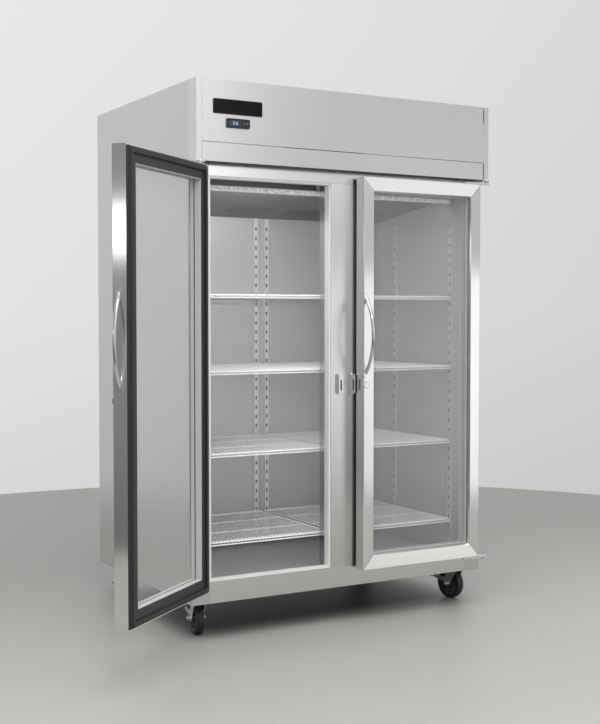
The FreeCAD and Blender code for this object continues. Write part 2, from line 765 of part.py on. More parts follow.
def hinge_arm(low, high):
    """Strap from the door's edge to the pivot, outside the door's outline."""
    strap = box(DOOR_OUTER - 75, PIVOT_X, PIVOT_Y - 10, PIVOT_Y + 10, low, high)
    eye = Part.makeCylinder(10, high - low, vec(PIVOT_X, PIVOT_Y, low))
    bore = Part.makeCylinder(PIN_R + PIN_CLEAR, high - low + 2, vec(PIVOT_X, PIVOT_Y, low - 1))
    return fuse([strap, eye]).cut(bore)


ARM_T = 6.0


def door_frame():
    frame = window_ring(0, WINDOW, DOOR_FRONT, DOOR_REAR)
    left, right, low, high = grown(WINDOW, GLASS_LAP + 1)
    frame = frame.cut(box(left, right, REBATE_FRONT, DOOR_REAR + 1, low, high))
    lock_bore = rod(vec(LOCK_X, DOOR_FRONT - 1, LOCK_Z), vec(LOCK_X, DOOR_FRONT + LOCK_DEPTH, LOCK_Z),
                    LOCK_R + PIN_CLEAR)
    frame = cut(frame, mitre_grooves() + [lock_bore])
    return fuse([frame, hinge_arm(DOOR_HIGH, DOOR_HIGH + ARM_T), hinge_arm(DOOR_LOW - ARM_T, DOOR_LOW)])


def door_glass():
    left, right, low, high = grown(WINDOW, GLASS_LAP)
    outer = box(left, right, REBATE_FRONT, REBATE_FRONT + 4, low, high)
    inner = box(left, right, REBATE_FRONT + 17, REBATE_FRONT + 21, low, high)
    return group([outer, inner])


def door_inner_frame():
    """Black retainer that holds the glass from behind and carries the gasket."""
    face = window_ring(5, grown(WINDOW, -1), DOOR_REAR, DOOR_REAR + 5)
    left, right, low, high = grown(WINDOW, GLASS_LAP + 0.6)
    lip = box(left, right, REBATE_FRONT + 21.2, DOOR_REAR, low, high)
    left, right, low, high = grown(WINDOW, -1)
    lip = lip.cut(box(left, right, REBATE_FRONT, DOOR_REAR + 6, low, high))
    return fuse([face, lip])


def door_gasket():
    outline = (DOOR_INNER + 28, DOOR_OUTER - 28, DOOR_LOW + 28, DOOR_HIGH - 28)
    return window_ring(6, outline, DOOR_REAR + 5, GASKET_REAR)


def bow_handle(rise):
    """Bow pull standing on z, feet on the plane y = 0, bow towards -y."""
    half = HANDLE_SPAN / 2
    start = vec(0, 4, -half)
    middle = vec(0, HANDLE_R - rise, 0)
    end = vec(0, 4, half)
    arc = Part.Wire([Part.Arc(start, middle, end).toShape()])
    tangent = arc.Edges[0].tangentAt(arc.Edges[0].FirstParameter)
    ring = Part.Wire(Part.makeCircle(HANDLE_R, start, tangent))
    bow = arc.makePipeShell([ring], True, False)
    behind = box(-40, 40, 0, 60, -half - 60, half + 60)
    feet = []
    for side in (-1, 1):
        foot = box(-10, 10, -3, 0, side * half - 17, side * half + 17)
        upright = [e for e in foot.Edges if abs(e.Vertexes[0].Y - e.Vertexes[1].Y) > 1]
        feet.append(foot.makeFillet(6, upright))
    return fuse([bow.cut(behind)] + feet)


def right_handle():
    handle = bow_handle(HANDLE_RISE)
    handle.translate(vec(LOCK_X, DOOR_FRONT, HANDLE_Z))
    return handle


def left_handle():
    """Pull on the free edge of the left door, in the gap between the doors."""
    handle = turned(bow_handle(EDGE_HANDLE_RISE), 0, 0, 90)
    handle.translate(vec(-DOOR_INNER, (DOOR_FRONT + DOOR_REAR) / 2, HANDLE_Z))
    return handle


def lock_cylinder():
    """Key cylinder: a plug in the stile with a rim and a key slot."""
    back = DOOR_FRONT + LOCK_DEPTH - 1
    plug = rod(vec(LOCK_X, DOOR_FRONT - 2.5, LOCK_Z), vec(LOCK_X, back, LOCK_Z), LOCK_R)
    rim = rod(vec(LOCK_X, DOOR_FRONT - 2.5, LOCK_Z), vec(LOCK_X, DOOR_FRONT - 0.4, LOCK_Z), LOCK_R + 2)
    slot = box(LOCK_X - 0.8, LOCK_X + 0.8, DOOR_FRONT - 4, DOOR_FRONT + 6, LOCK_Z - 4, LOCK_Z + 4)
    return fuse([plug, rim]).cut(slot)


def hinge_brackets():
    """Top and bottom pivot brackets of the right door, with their pins."""
    top_low = DOOR_HIGH + ARM_T + 1.5
    top_high = CANOPY_LOW - 0.3
    bottom_high = DOOR_LOW - ARM_T - 1.5
    pieces = []
    for low, high, pin_low, pin_high in (
        (top_high - 5, top_high, DOOR_HIGH + 0.5, top_high - 5),
        (bottom_high - 5, bottom_high, bottom_high, DOOR_LOW - 0.5),
    ):
        plate = box(PIVOT_X - 18, HALF - 1, PIVOT_Y, -0.1, low, high)
        eye = Part.makeCylinder(11, high - low, vec(PIVOT_X, PIVOT_Y, low))
        flange_low = low - 12 if low < DOOR_LOW else low - 8
        flange = box(PIVOT_X - 18, HALF - 1, -4.1, -0.1, flange_low, high)
        pin = Part.makeCylinder(PIN_R, pin_high - pin_low, vec(PIVOT_X, PIVOT_Y, pin_low))
        shoulder_low = pin_low if low < DOOR_LOW else top_low + 0.5
        shoulder_high = DOOR_LOW - ARM_T - 0.8 if low < DOOR_LOW else pin_high
        shoulder = Part.makeCylinder(9, shoulder_high - shoulder_low, vec(PIVOT_X, PIVOT_Y, shoulder_low))
        pieces.append(fuse([plate, eye, flange, pin, shoulder]))
    return group(pieces)


def door_strikes():
    """Latch keepers on the mullion, each a plate and a slotted box."""
    x0, x1 = 12.0, 38.0
    low, high = 887.0, 973.0
    plate = box(x0, x1, -3, -0.1, low, high)
    body = box(x0 + 6, x1, -14, -3, low + 6, high - 6)
    slot = box(x0 + 13, x0 + 19, -15, -5, low + 18, high - 26)
    keeper = fuse([plate, body]).cut(slot)
    return group([keeper, mirrored(keeper)])


# ---- casters, modelled at the origin with the wheel trailing along +X ----
SWIVEL_HIGH = 143.5
SWIVEL_LOW = 136.5
LEG_IN = 20.0
LEG_T = 3.0
PEDAL_PIN = (103.0, 84.0)    # distance behind the kingpin, height
PEDAL_PIN_R = 3.0


def caster_plate():
    plate = box(-47, 47, -34, 34, BASE_Z - 4, BASE_Z)
    race = Part.makeCylinder(26, BASE_Z - 4 - SWIVEL_HIGH - 0.5, vec(0, 0, SWIVEL_HIGH + 0.5))
    kingpin = Part.makeCylinder(AXLE_R, BASE_Z - 4 - 133, vec(0, 0, 133))
    heads = [Part.makeCylinder(6.5, 5, vec(dx, dy, BASE_Z - 9)) for dx in (-37, 37) for dy in (-24, 24)]
    return fuse([plate, race, kingpin] + heads)


def leg(side):
    near = side * LEG_IN
    points = [(-26, SWIVEL_LOW), (28, SWIVEL_LOW), (CASTER_TRAIL + 16, WHEEL_R + 10),
              (CASTER_TRAIL + 12, WHEEL_R - 12), (CASTER_TRAIL - 12, WHEEL_R - 12),
              (CASTER_TRAIL - 20, WHEEL_R + 4)]
    corners = [vec(x, near, z) for x, z in points]
    face = Part.Face(Part.makePolygon(corners + [corners[0]]))
    return face.extrude(vec(0, side * LEG_T, 0))


def ear(side):
    """Brake lever carrier behind the wheel, outside the leg."""
    near = side * LEG_IN
    reach, high = PEDAL_PIN
    points = [(CASTER_TRAIL, WHEEL_R + 22), (reach - 4, high + 9), (reach + 7, high + 4),
              (reach + 7, high - 6), (CASTER_TRAIL + 6, WHEEL_R + 2)]
    corners = [vec(x, near, z) for x, z in points]
    face = Part.Face(Part.makePolygon(corners + [corners[0]]))
    return face.extrude(vec(0, side * LEG_T, 0))


def caster_fork(braked):
    disc = Part.makeCylinder(28, SWIVEL_HIGH - SWIVEL_LOW, vec(0, 0, SWIVEL_LOW))
    bridge = box(-26, 28, -LEG_IN - LEG_T, LEG_IN + LEG_T, SWIVEL_LOW, SWIVEL_LOW + 4)
    shapes = [disc, bridge, leg(1), leg(-1)]
    axle = rod(vec(CASTER_TRAIL, -LEG_IN - 8, WHEEL_R), vec(CASTER_TRAIL, LEG_IN + 8, WHEEL_R), AXLE_R)
    heads = [rod(vec(CASTER_TRAIL, side * (LEG_IN + LEG_T), WHEEL_R),
                 vec(CASTER_TRAIL, side * (LEG_IN + 9), WHEEL_R), 10) for side in (-1, 1)]
    shapes.append(axle)
    shapes.extend(heads)
    if braked:
        reach, high = PEDAL_PIN
        shapes.extend([ear(1), ear(-1)])
        shapes.append(rod(vec(reach, -LEG_IN - LEG_T, high), vec(reach, LEG_IN + LEG_T, high), PEDAL_PIN_R))
    bore = Part.makeCylinder(AXLE_R + PIN_CLEAR, 30, vec(0, 0, SWIVEL_LOW - 10))
    return fuse(shapes).cut(bore)


def caster_wheel():
    """Wheel with a rounded tread, a narrower web and a hub."""
    half = WHEEL_W / 2
    tyre = rod(vec(0, -half, 0), vec(0, half, 0), WHEEL_R)
    tyre = tyre.makeFillet(5, [e for e in tyre.Edges if e.Curve.TypeId == "Part::GeomCircle"])
    dish = [rod(vec(0, side * half, 0), vec(0, side * (half - 5), 0), 48) for side in (-1, 1)]
    hub = rod(vec(0, -half - 2, 0), vec(0, half + 2, 0), 17)
    bore = rod(vec(0, -30, 0), vec(0, 30, 0), AXLE_R + PIN_CLEAR)
    wheel = fuse([cut(tyre, dish), hub]).cut(bore)
    wheel.translate(vec(CASTER_TRAIL, 0, WHEEL_R))
    return wheel


def brake_pedal():
    reach, high = PEDAL_PIN
    inner = LEG_IN - 0.6
    sleeve = rod(vec(reach, -inner, high), vec(reach, inner, high), 6)
    bore = rod(vec(reach, -30, high), vec(reach, 30, high), PEDAL_PIN_R + PIN_CLEAR)
    tread = box(reach + 2, reach + 34, -18, 18, high - 2, high + 2)
    tread.rotate(vec(reach, 0, high), vec(0, 1, 0), 14)
    return fuse([sleeve, tread]).cut(bore)


CASTERS = {
    "front_left": (-CASTER_X, CASTER_FRONT_Y, 80.0, True),
    "front_right": (CASTER_X, CASTER_FRONT_Y, 98.0, True),
    "rear_left": (-CASTER_X, CASTER_BACK_Y, 250.0, False),
    "rear_right": (CASTER_X, CASTER_BACK_Y, 285.0, False),
}


def placed_caster(shape, name):
    x, y, degrees, _ = CASTERS[name]
    moved = turned(shape, 0, 0, degrees)
    moved.translate(vec(x, y, 0))
    return moved


# ---- write every sub-part ----
def left_open(shape):
    """Swing a piece of the closed left door to where the door stands at rest."""
    return turned(shape, -PIVOT_X, PIVOT_Y, -LEFT_DOOR_OPEN)


def write_cabinet():
    panel = side_panel_right()
    export(panel, "side_panel_right")
    export(mirrored(panel), "side_panel_left")
    export(back_panel(), "back_panel")
    export(base_panel(), "base_panel")
    post = corner_post()
    export(group([post, mirrored(post)]), "corner_posts")
    export(front_rails(), "front_rails")
    export(mullion(), "mullion")
    export(insulation(), "insulation")
    export(cabinet_liner(), "cabinet_liner")
    ring = breaker_ring()
    export(group([ring, mirrored(ring)]), "breaker_strips")
    export(canopy_panel(), "canopy_panel")
    export(canopy_lower_strip(), "canopy_lower_strip")
    cap = canopy_end_cap()
    export(group([cap, mirrored(cap)]), "canopy_end_caps")
    export(badge_plate(), "badge_plate")
    export(controller_bezel(), "controller_bezel")
    export(controller_display(), "controller_display")
    export(controller_button(BUTTON_X[0]), "controller_button_down")
    export(controller_button(BUTTON_X[1]), "controller_button_up")


def write_machinery():
    export(machine_deck(), "machine_deck")
    export(compressor(), "compressor")
    export(condenser_coil(), "condenser_coil")
    export(fan_shroud(), "fan_shroud")
    export(condenser_fan(), "condenser_fan")
    export(evaporator_fan(), "evaporator_fan")
    export(fan_motors(), "fan_motors")
    export(refrigerant_lines(), "refrigerant_lines")
    export(evaporator_coil(), "evaporator_coil")
    export(evaporator_cover(), "evaporator_cover")
    export(rear_duct_panel(), "rear_duct_panel")
    export(power_inlet(), "power_inlet")


def write_interior():
    bar = light_bar()
    export(group([bar, mirrored(bar)]), "light_bars")
    export(pilasters(), "pilasters")
    export(shelf_clips(), "shelf_clips")
    shelf = wire_shelf()
    right = []
    for top in SHELF_TOPS:
        piece = shelf.copy()
        piece.translate(vec(0, 0, top))
        right.append(piece)
    export(group(right), "shelves_right")
    export(group([mirrored(piece) for piece in right]), "shelves_left")


def write_doors():
    pieces = {
        "frame": door_frame(),
        "glass": door_glass(),
        "inner_frame": door_inner_frame(),
        "gasket": door_gasket(),
        "lock": lock_cylinder(),
    }
    for name, shape in pieces.items():
        export(shape, "door_right_" + name)
        export(left_open(mirrored(shape)), "door_left_" + name)
    export(right_handle(), "door_right_handle")
    export(left_open(left_handle()), "door_left_handle")
    brackets = hinge_brackets()
    export(group([brackets, mirrored(brackets)]), "hinge_brackets")
    export(door_strikes(), "door_strikes")


def write_casters():
    plates = []
    for name, (x, y, degrees, braked) in CASTERS.items():
        export(placed_caster(caster_fork(braked), name), "caster_fork_" + name)
        export(placed_caster(caster_wheel(), name), "caster_wheel_" + name)
        if braked:
            export(placed_caster(brake_pedal(), name), "brake_pedal_" + name)
        plate = caster_plate()
        plate.translate(vec(x, y, 0))
        plates.append(plate)
    export(group(plates), "caster_plates")


write_cabinet()
write_machinery()
write_interior()
write_doors()
write_casters()
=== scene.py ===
import bpy
import bmesh
import json
import math
import random
from mathutils import Matrix, Vector


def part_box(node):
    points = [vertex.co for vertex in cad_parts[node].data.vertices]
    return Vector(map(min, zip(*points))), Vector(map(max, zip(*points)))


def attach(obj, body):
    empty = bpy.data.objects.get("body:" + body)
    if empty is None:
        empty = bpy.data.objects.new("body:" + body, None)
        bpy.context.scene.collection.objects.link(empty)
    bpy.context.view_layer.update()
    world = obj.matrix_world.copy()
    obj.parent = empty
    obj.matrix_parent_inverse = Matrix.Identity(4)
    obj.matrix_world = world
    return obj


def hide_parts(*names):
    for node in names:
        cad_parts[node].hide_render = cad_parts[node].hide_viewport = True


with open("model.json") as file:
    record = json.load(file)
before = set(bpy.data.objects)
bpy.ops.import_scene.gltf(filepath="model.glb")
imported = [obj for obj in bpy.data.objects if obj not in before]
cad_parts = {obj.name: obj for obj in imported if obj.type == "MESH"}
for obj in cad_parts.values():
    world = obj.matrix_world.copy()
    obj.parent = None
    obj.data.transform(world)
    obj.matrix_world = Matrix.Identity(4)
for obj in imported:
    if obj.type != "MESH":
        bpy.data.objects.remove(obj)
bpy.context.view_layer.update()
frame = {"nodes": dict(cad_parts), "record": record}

NODES = frame["nodes"]
RNG = random.Random(7)

# ---- camera, in metres and degrees ----
CAMERA_AT = Vector((-2.5168, -4.0040, 1.1969))
CAMERA_YAW = math.radians(30.008)
CAMERA_DOWN = math.radians(2.199)
CAMERA_LENS = 60.28
CAMERA_SENSOR = 36.0


def add_camera():
    data = bpy.data.cameras.new("view")
    data.lens = CAMERA_LENS
    data.sensor_width = CAMERA_SENSOR
    camera = bpy.data.objects.new("view", data)
    look = Vector((
        math.sin(CAMERA_YAW) * math.cos(CAMERA_DOWN),
        math.cos(CAMERA_YAW) * math.cos(CAMERA_DOWN),
        -math.sin(CAMERA_DOWN),
    ))
    camera.location = CAMERA_AT
    camera.rotation_euler = look.to_track_quat("-Z", "Y").to_euler()
    bpy.context.scene.collection.objects.link(camera)
    bpy.context.scene.camera = camera


# ---- light ----
LIGHTS = (      # name, place, target, size, watts, colour
    ("overhead", (-0.8, -1.2, 4.4), (0.1, 0.3, 0.0), (3.2, 3.2), 80, (1.0, 0.995, 0.98)),
    ("left_window", (-6.2, -1.97, 1.84), (-1.0, -0.42, 1.5), (2.6, 0.34), 8.5, (1.0, 1.0, 0.97)),
    ("front_window", (7.75, -9.6, 0.25), (0.3, 0.0, 0.9), (3.2, 3.1), 31, (1, 1, 1)),
    ("canopy_glow", (3.3, -9.6, 3.7), (-0.6, 0.0, 1.9), (1.7, 2.0), 23, (1, 1, 1)),
    ("camera_fill", (-2.0, -3.9, 3.75), (0.0, 0.4, 0.9), (0.8, 0.6), 40, (1.0, 1.0, 0.99)),
    ("bar_left", (-0.31, 0.14, 1.655), (-0.31, 0.66, 0.7), (0.52, 0.03), 1.7, (1.0, 1.0, 0.985)),
    ("bar_right", (0.31, 0.14, 1.655), (0.31, 0.66, 0.7), (0.52, 0.03), 0.10, (1.0, 1.0, 0.985)),
)
# position along the ramp and shade there: from below to overhead, and from left to right
SKY = ((0.36, 0.28), (0.415, 0.48), (0.448, 0.66), (0.53, 0.76), (0.70, 0.82), (1.0, 1.05))
SIDES = ((0.0, 0.40), (0.08, 0.55), (0.20, 1.10), (0.60, 1.02), (0.76, 0.94), (0.86, 0.86), (1.0, 0.80))
SKY_TILT = 0.035        # the horizon's rise to the back


def area_light(name, place, target, size, power, color):
    data = bpy.data.lights.new(name, "AREA")
    data.shape = "RECTANGLE"
    data.size, data.size_y = size
    data.energy = power
    data.color = color
    lamp = bpy.data.objects.new(name, data)
    lamp.location = place
    lamp.visible_camera = False
    lamp.rotation_euler = (Vector(target) - Vector(place)).to_track_quat("-Z", "Y").to_euler()
    bpy.context.scene.collection.objects.link(lamp)


def graded(tree, factor, stops):
    """Colour ramp from (position, colour) pairs."""
    node = tree.nodes.new("ShaderNodeValToRGB")
    elements = node.color_ramp.elements
    elements[0].position, elements[0].color = stops[0][0], (*stops[0][1], 1)
    elements[1].position, elements[1].color = stops[-1][0], (*stops[-1][1], 1)
    for position, color in stops[1:-1]:
        elements.new(position).color = (*color, 1)
    tree.links.new(factor, node.inputs[0])
    return node.outputs[0]


def grey(shade):
    return (shade, shade * 1.002, shade * 1.004)


def add_world():
    """Pale room: brighter overhead, a soft fall-off to each side, darker below the horizon."""
    world = bpy.data.worlds.new("studio")
    world.use_nodes = True
    tree = world.node_tree
    background = tree.nodes["Background"]
    coordinates = tree.nodes.new("ShaderNodeTexCoord")
    split = tree.nodes.new("ShaderNodeSeparateXYZ")
    tree.links.new(coordinates.outputs["Generated"], split.inputs[0])
    tilt = ramp(tree, split.outputs["Y"], -SKY_TILT, SKY_TILT, -1.0, 1.0)
    height = add_up(tree, ramp(tree, split.outputs["Z"], 0.0, 1.0, -1.0, 1.0), tilt)
    sky = graded(tree, height, [(position, grey(shade)) for position, shade in SKY])
    across = ramp(tree, split.outputs["X"], 0.0, 1.0, -1.0, 1.0)
    side = graded(tree, across, [(position, grey(shade)) for position, shade in SIDES])
    tree.links.new(sky, background.inputs["Color"])
    tree.links.new(side, background.inputs["Strength"])
    bpy.context.scene.world = world


def add_lights():
    for row in LIGHTS:
        area_light(*row)


# ---- shader helpers ----
def shader(name, color, metallic=0.0, roughness=0.5):
    made = bpy.data.materials.new(name)
    made.use_nodes = True
    surface = made.node_tree.nodes["Principled BSDF"]
    surface.inputs["Base Color"].default_value = (*color, 1)
    surface.inputs["Metallic"].default_value = metallic
    surface.inputs["Roughness"].default_value = roughness
    return made, made.node_tree, surface


def noise(tree, scale, stretch=(1, 1, 1), detail=3.0):
    coordinates = tree.nodes.new("ShaderNodeTexCoord")
    mapping = tree.nodes.new("ShaderNodeMapping")
    mapping.inputs["Scale"].default_value = stretch
    texture = tree.nodes.new("ShaderNodeTexNoise")
    texture.inputs["Scale"].default_value = scale
    texture.inputs["Detail"].default_value = detail
    tree.links.new(coordinates.outputs["Object"], mapping.inputs["Vector"])
    tree.links.new(mapping.outputs[0], texture.inputs["Vector"])
    return texture.outputs["Fac"]


def ramp(tree, factor, low, high, start=0.3, stop=0.7):
    node = tree.nodes.new("ShaderNodeMapRange")
    node.inputs["From Min"].default_value = start
    node.inputs["From Max"].default_value = stop
    node.inputs["To Min"].default_value = low
    node.inputs["To Max"].default_value = high
    tree.links.new(factor, node.inputs["Value"])
    return node.outputs["Result"]


def add_up(tree, first, second):
    node = tree.nodes.new("ShaderNodeMath")
    node.operation = "ADD"
    tree.links.new(first, node.inputs[0])
    tree.links.new(second, node.inputs[1])
    return node.outputs[0]


def tinted(tree, factor, dark, light):
    node = tree.nodes.new("ShaderNodeMix")
    node.data_type = "RGBA"
    node.inputs[6].default_value = (*dark, 1)
    node.inputs[7].default_value = (*light, 1)
    tree.links.new(factor, node.inputs[0])
    return node.outputs[2]


def bump(tree, surface, height, strength, distance):
    node = tree.nodes.new("ShaderNodeBump")
    node.inputs["Strength"].default_value = strength
    node.inputs["Distance"].default_value = distance
    tree.links.new(height, node.inputs["Height"])
    tree.links.new(node.outputs[0], surface.inputs["Normal"])


GRAIN = {"x": (7.0, 900, 900), "z": (500, 500, 1.4)}   # noise stretch for streaks along each axis
ACROSS_TURN = {"x": 0.25, "z": 0.0}                    # turn of the wide highlight, in whole turns


def brushed(name, color, roughness, along, metallic=1.0, spread=0.7):
    """Rolled and brushed sheet: fine streaks along one axis, soft clouding and faint smears."""
    made, tree, surface = shader(name, color, metallic, roughness)
    surface.inputs["Anisotropic"].default_value = spread
    surface.inputs["Anisotropic Rotation"].default_value = ACROSS_TURN[along]
    streaks = noise(tree, 1.0, GRAIN[along], 3.0)
    clouds = noise(tree, 2.3, (1, 1, 1), 3.0)
    smears = noise(tree, 9.0, (1, 1, 0.5), 2.0)
    dark = tuple(c * 0.985 for c in color)
    light = tuple(min(1.0, c * 1.012) for c in color)
    tree.links.new(tinted(tree, streaks, dark, light), surface.inputs["Base Color"])
    wear = add_up(tree, ramp(tree, clouds, -0.010, 0.010, 0.2, 0.8), ramp(tree, smears, -0.004, 0.008, 0.2, 0.8))
    rough = add_up(tree, ramp(tree, streaks, roughness - 0.005, roughness + 0.005), wear)
    tree.links.new(rough, surface.inputs["Roughness"])
    return made


def darker_low(made, shade, low, high):
    """Shades a finish a little towards the foot of the cabinet, where less light reaches it."""
    tree = made.node_tree
    color = tree.nodes["Principled BSDF"].inputs["Base Color"]
    coordinates = tree.nodes.new("ShaderNodeTexCoord")
    split = tree.nodes.new("ShaderNodeSeparateXYZ")
    tree.links.new(coordinates.outputs["Object"], split.inputs[0])
    mixed = tree.nodes.new("ShaderNodeMix")
    mixed.data_type = "RGBA"
    mixed.blend_type = "MULTIPLY"
    mixed.inputs[0].default_value = 1.0
    tree.links.new(color.links[0].from_socket, mixed.inputs[6])
    tree.links.new(ramp(tree, split.outputs["Z"], shade, 1.0, low, high), mixed.inputs[7])
    tree.links.new(mixed.outputs[2], color)
    return made


def plain_metal(name, color, roughness, cloud_scale=14.0, spread=0.08):
    made, tree, surface = shader(name, color, 1.0, roughness)
    clouds = noise(tree, cloud_scale, (1, 1, 1), 4.0)
    dark = tuple(c * (1 - spread) for c in color)
    light = tuple(min(1.0, c * (1 + spread)) for c in color)
    tree.links.new(tinted(tree, clouds, dark, light), surface.inputs["Base Color"])
    tree.links.new(ramp(tree, clouds, roughness - 0.06, roughness + 0.08), surface.inputs["Roughness"])
    return made


def coated(name, color, roughness, grain=900.0, depth=0.00015, spread=0.06):
    """Paint or moulded plastic: slight colour clouding, and a fine texture in its gloss."""
    made, tree, surface = shader(name, color, 0.0, roughness)
    clouds = noise(tree, 6.0, (1, 1, 1), 3.0)
    fine = noise(tree, grain, (1, 1, 1), 2.0)
    dark = tuple(c * (1 - spread) for c in color)
    light = tuple(min(1.0, c * (1 + spread)) for c in color)
    tree.links.new(tinted(tree, clouds, dark, light), surface.inputs["Base Color"])
    tree.links.new(ramp(tree, fine, roughness - 0.06, roughness + 0.06), surface.inputs["Roughness"])
    bump(tree, surface, fine, 0.15, depth)
    return made


def dull(made, level):
    """Lowers a coating's mirror strength."""
    made.node_tree.nodes["Principled BSDF"].inputs["Specular IOR Level"].default_value = level
    return made


def galvanised():
    made, tree, surface = shader("galvanised_sheet", (0.55, 0.57, 0.58), 1.0, 0.42)
    coordinates = tree.nodes.new("ShaderNodeTexCoord")
    cells = tree.nodes.new("ShaderNodeTexVoronoi")
    cells.inputs["Scale"].default_value = 95.0
    tree.links.new(coordinates.outputs["Object"], cells.inputs["Vector"])
    shade = tinted(tree, cells.outputs["Color"], (0.52, 0.54, 0.55), (0.60, 0.62, 0.63))
    tree.links.new(shade, surface.inputs["Base Color"])
    tree.links.new(ramp(tree, cells.outputs["Distance"], 0.40, 0.48, 0.0, 1.0), surface.inputs["Roughness"])
    return made


def clear_glass():
    """Flat pane: mostly seen through, with a faint haze and a soft reflection over it."""
    made, tree, surface = shader("door_glass", (0.62, 0.64, 0.63), 0.0, 0.06)
    haze = noise(tree, 1.6, (1, 1, 0.6), 3.0)
    tree.links.new(ramp(tree, haze, 0.05, 0.09), surface.inputs["Roughness"])
    surface.inputs["Alpha"].default_value = 0.055
    surface.inputs["IOR"].default_value = 1.45
    return made


def lamp_lens():
    made, tree, surface = shader("light_lens", (0.86, 0.88, 0.88), 0.0, 0.3)
    grit = noise(tree, 150.0, (1, 1, 1), 2.0)
    tree.links.new(tinted(tree, ramp(tree, grit, 0.0, 1.0, 0.38, 0.6), (0.42, 0.43, 0.43), (1, 1, 1)),
                   surface.inputs["Base Color"])
    clouds = noise(tree, 8.0, (1, 1, 1), 2.0)
    tree.links.new(ramp(tree, clouds, 0.26, 0.36), surface.inputs["Roughness"])
    surface.inputs["Emission Color"].default_value = (1.0, 1.0, 0.98, 1)
    surface.inputs["Emission Strength"].default_value = 0.16
    return made


def glow(name, color, strength):
    made, tree, surface = shader(name, color, 0.0, 0.4)
    clouds = noise(tree, 300.0, (1, 1, 1), 1.0)
    tree.links.new(ramp(tree, clouds, 0.35, 0.45), surface.inputs["Roughness"])
    surface.inputs["Emission Color"].default_value = (*color, 1)
    surface.inputs["Emission Strength"].default_value = strength
    return made


def make_materials():
    return {
        "stainless_panel": brushed("stainless_panel", (0.72, 0.72, 0.71), 0.36, "z"),
        "stainless_frame": darker_low(brushed("stainless_frame", (0.72, 0.72, 0.71), 0.23, "z", spread=0.8),
                                      0.80, 0.3, 1.1),
        "stainless_header": darker_low(brushed("stainless_header", (0.72, 0.72, 0.71), 0.22, "z", spread=0.3),
                                       0.84, 0.3, 1.1),
        "stainless_canopy": brushed("stainless_canopy", (0.65, 0.65, 0.645), 0.30, "x"),
        "stainless_door": brushed("stainless_door", (0.69, 0.69, 0.685), 0.15, "z", spread=0.85),
        # door rails: the stiles' steel with a far brighter base colour, a lit copy that paints a highlight on
        # them
        "stainless_rail": brushed("stainless_rail", (0.97, 0.97, 0.96), 0.28, "x"),
        "spacer_bar": coated("spacer_bar", (0.50, 0.505, 0.505), 0.38, 400.0, 0.00005, 0.03),
        "stainless_strip": brushed("stainless_strip", (0.84, 0.84, 0.84), 0.30, "z", 0.7),
        "galvanised_sheet": galvanised(),
        "liner_sheet": darker_low(brushed("liner_sheet", (0.66, 0.665, 0.66), 0.46, "z", 0.30), 0.70, 0.2, 0.6),
        "foam": coated("foam", (0.80, 0.74, 0.52), 0.85, 120.0, 0.001, 0.12),
        "breaker_plastic": coated("breaker_plastic", (0.80, 0.80, 0.79), 0.35),
        "badge_black": dull(coated("badge_black", (0.004, 0.004, 0.004), 0.22, 900.0, 0.00002), 0.1),
        "badge_rim": dull(coated("badge_rim", (0.015, 0.015, 0.016), 0.30, 900.0, 0.00002), 0.4),
        "controller_black": dull(coated("controller_black", (0.010, 0.010, 0.011), 0.32), 0.4),
        "display_window": coated("display_window", (0.01, 0.02, 0.05), 0.08, 900.0, 0.00001),
        "digit_glow": glow("digit_glow", (0.35, 0.65, 0.95), 0.8),
        "button_grey": coated("button_grey", (0.12, 0.12, 0.13), 0.4),
        "compressor_black": coated("compressor_black", (0.02, 0.02, 0.02), 0.35, 300.0, 0.0002),
        "coil_fins": plain_metal("coil_fins", (0.72, 0.73, 0.74), 0.38),
        "fan_aluminium": plain_metal("fan_aluminium", (0.66, 0.67, 0.68), 0.35),
        "motor_grey": coated("motor_grey", (0.11, 0.11, 0.12), 0.45, 400.0, 0.0002),
        "copper_tube": plain_metal("copper_tube", (0.74, 0.38, 0.22), 0.30, 30.0, 0.15),
        "cover_grey": coated("cover_grey", (0.20, 0.204, 0.208), 0.42),
        "junction_grey": coated("junction_grey", (0.34, 0.35, 0.36), 0.50),
        "light_lens": lamp_lens(),
        "zinc_plate": plain_metal("zinc_plate", (0.70, 0.71, 0.72), 0.30, 40.0, 0.08),
        "coated_wire": coated("coated_wire", (0.99, 0.99, 0.99), 0.30, 300.0, 0.00002, 0.005),
        "chrome_fitting": plain_metal("chrome_fitting", (0.62, 0.62, 0.63), 0.14, 60.0, 0.03),
        "door_glass": clear_glass(),
        "black_plastic": coated("black_plastic", (0.030, 0.030, 0.032), 0.40),
        "black_rubber": coated("black_rubber", (0.026, 0.026, 0.027), 0.52, 500.0, 0.0003),
        "black_tyre": coated("black_tyre", (0.008, 0.008, 0.008), 0.46, 350.0, 0.0003, 0.3),
    }


OWN_FINISH = {"front_rails": "stainless_header"}


def dress_cad_nodes(materials):
    slot_of = {row["node"]: row["material_slot"] for row in frame["record"]["subparts"]}
    for name, node in NODES.items():
        node.data.materials.clear()
        node.data.materials.append(materials[OWN_FINISH.get(name, slot_of[name])])


# ---- mesh helpers, in millimetres ----
MM = 0.001


def skin(bm, loops, closed=False):
    """Closed skin through loops of equal size; open runs are capped at both ends."""
    rows = [[bm.verts.new(Vector(point) * MM) for point in loop] for loop in loops]
    following = rows[1:] + rows[:1] if closed else rows[1:]
    for row, after in zip(rows, following):
        for index in range(len(row)):
            ahead = (index + 1) % len(row)
            bm.faces.new((row[index], row[ahead], after[ahead], after[index]))
    if not closed:
        bm.faces.new(rows[0])
        bm.faces.new(rows[-1])
    return [vert for row in rows for vert in row]


def add_box(bm, low, high):
    x0, y0, z0 = low
    x1, y1, z1 = high
    skin(bm, [[(x0, y0, z), (x1, y0, z), (x1, y1, z), (x0, y1, z)] for z in (z0, z1)])


def add_prism(bm, section, start, stop):
    """Section of (y, z) points drawn out along x."""
    skin(bm, [[(x, y, z) for y, z in section] for x in (start, stop)])


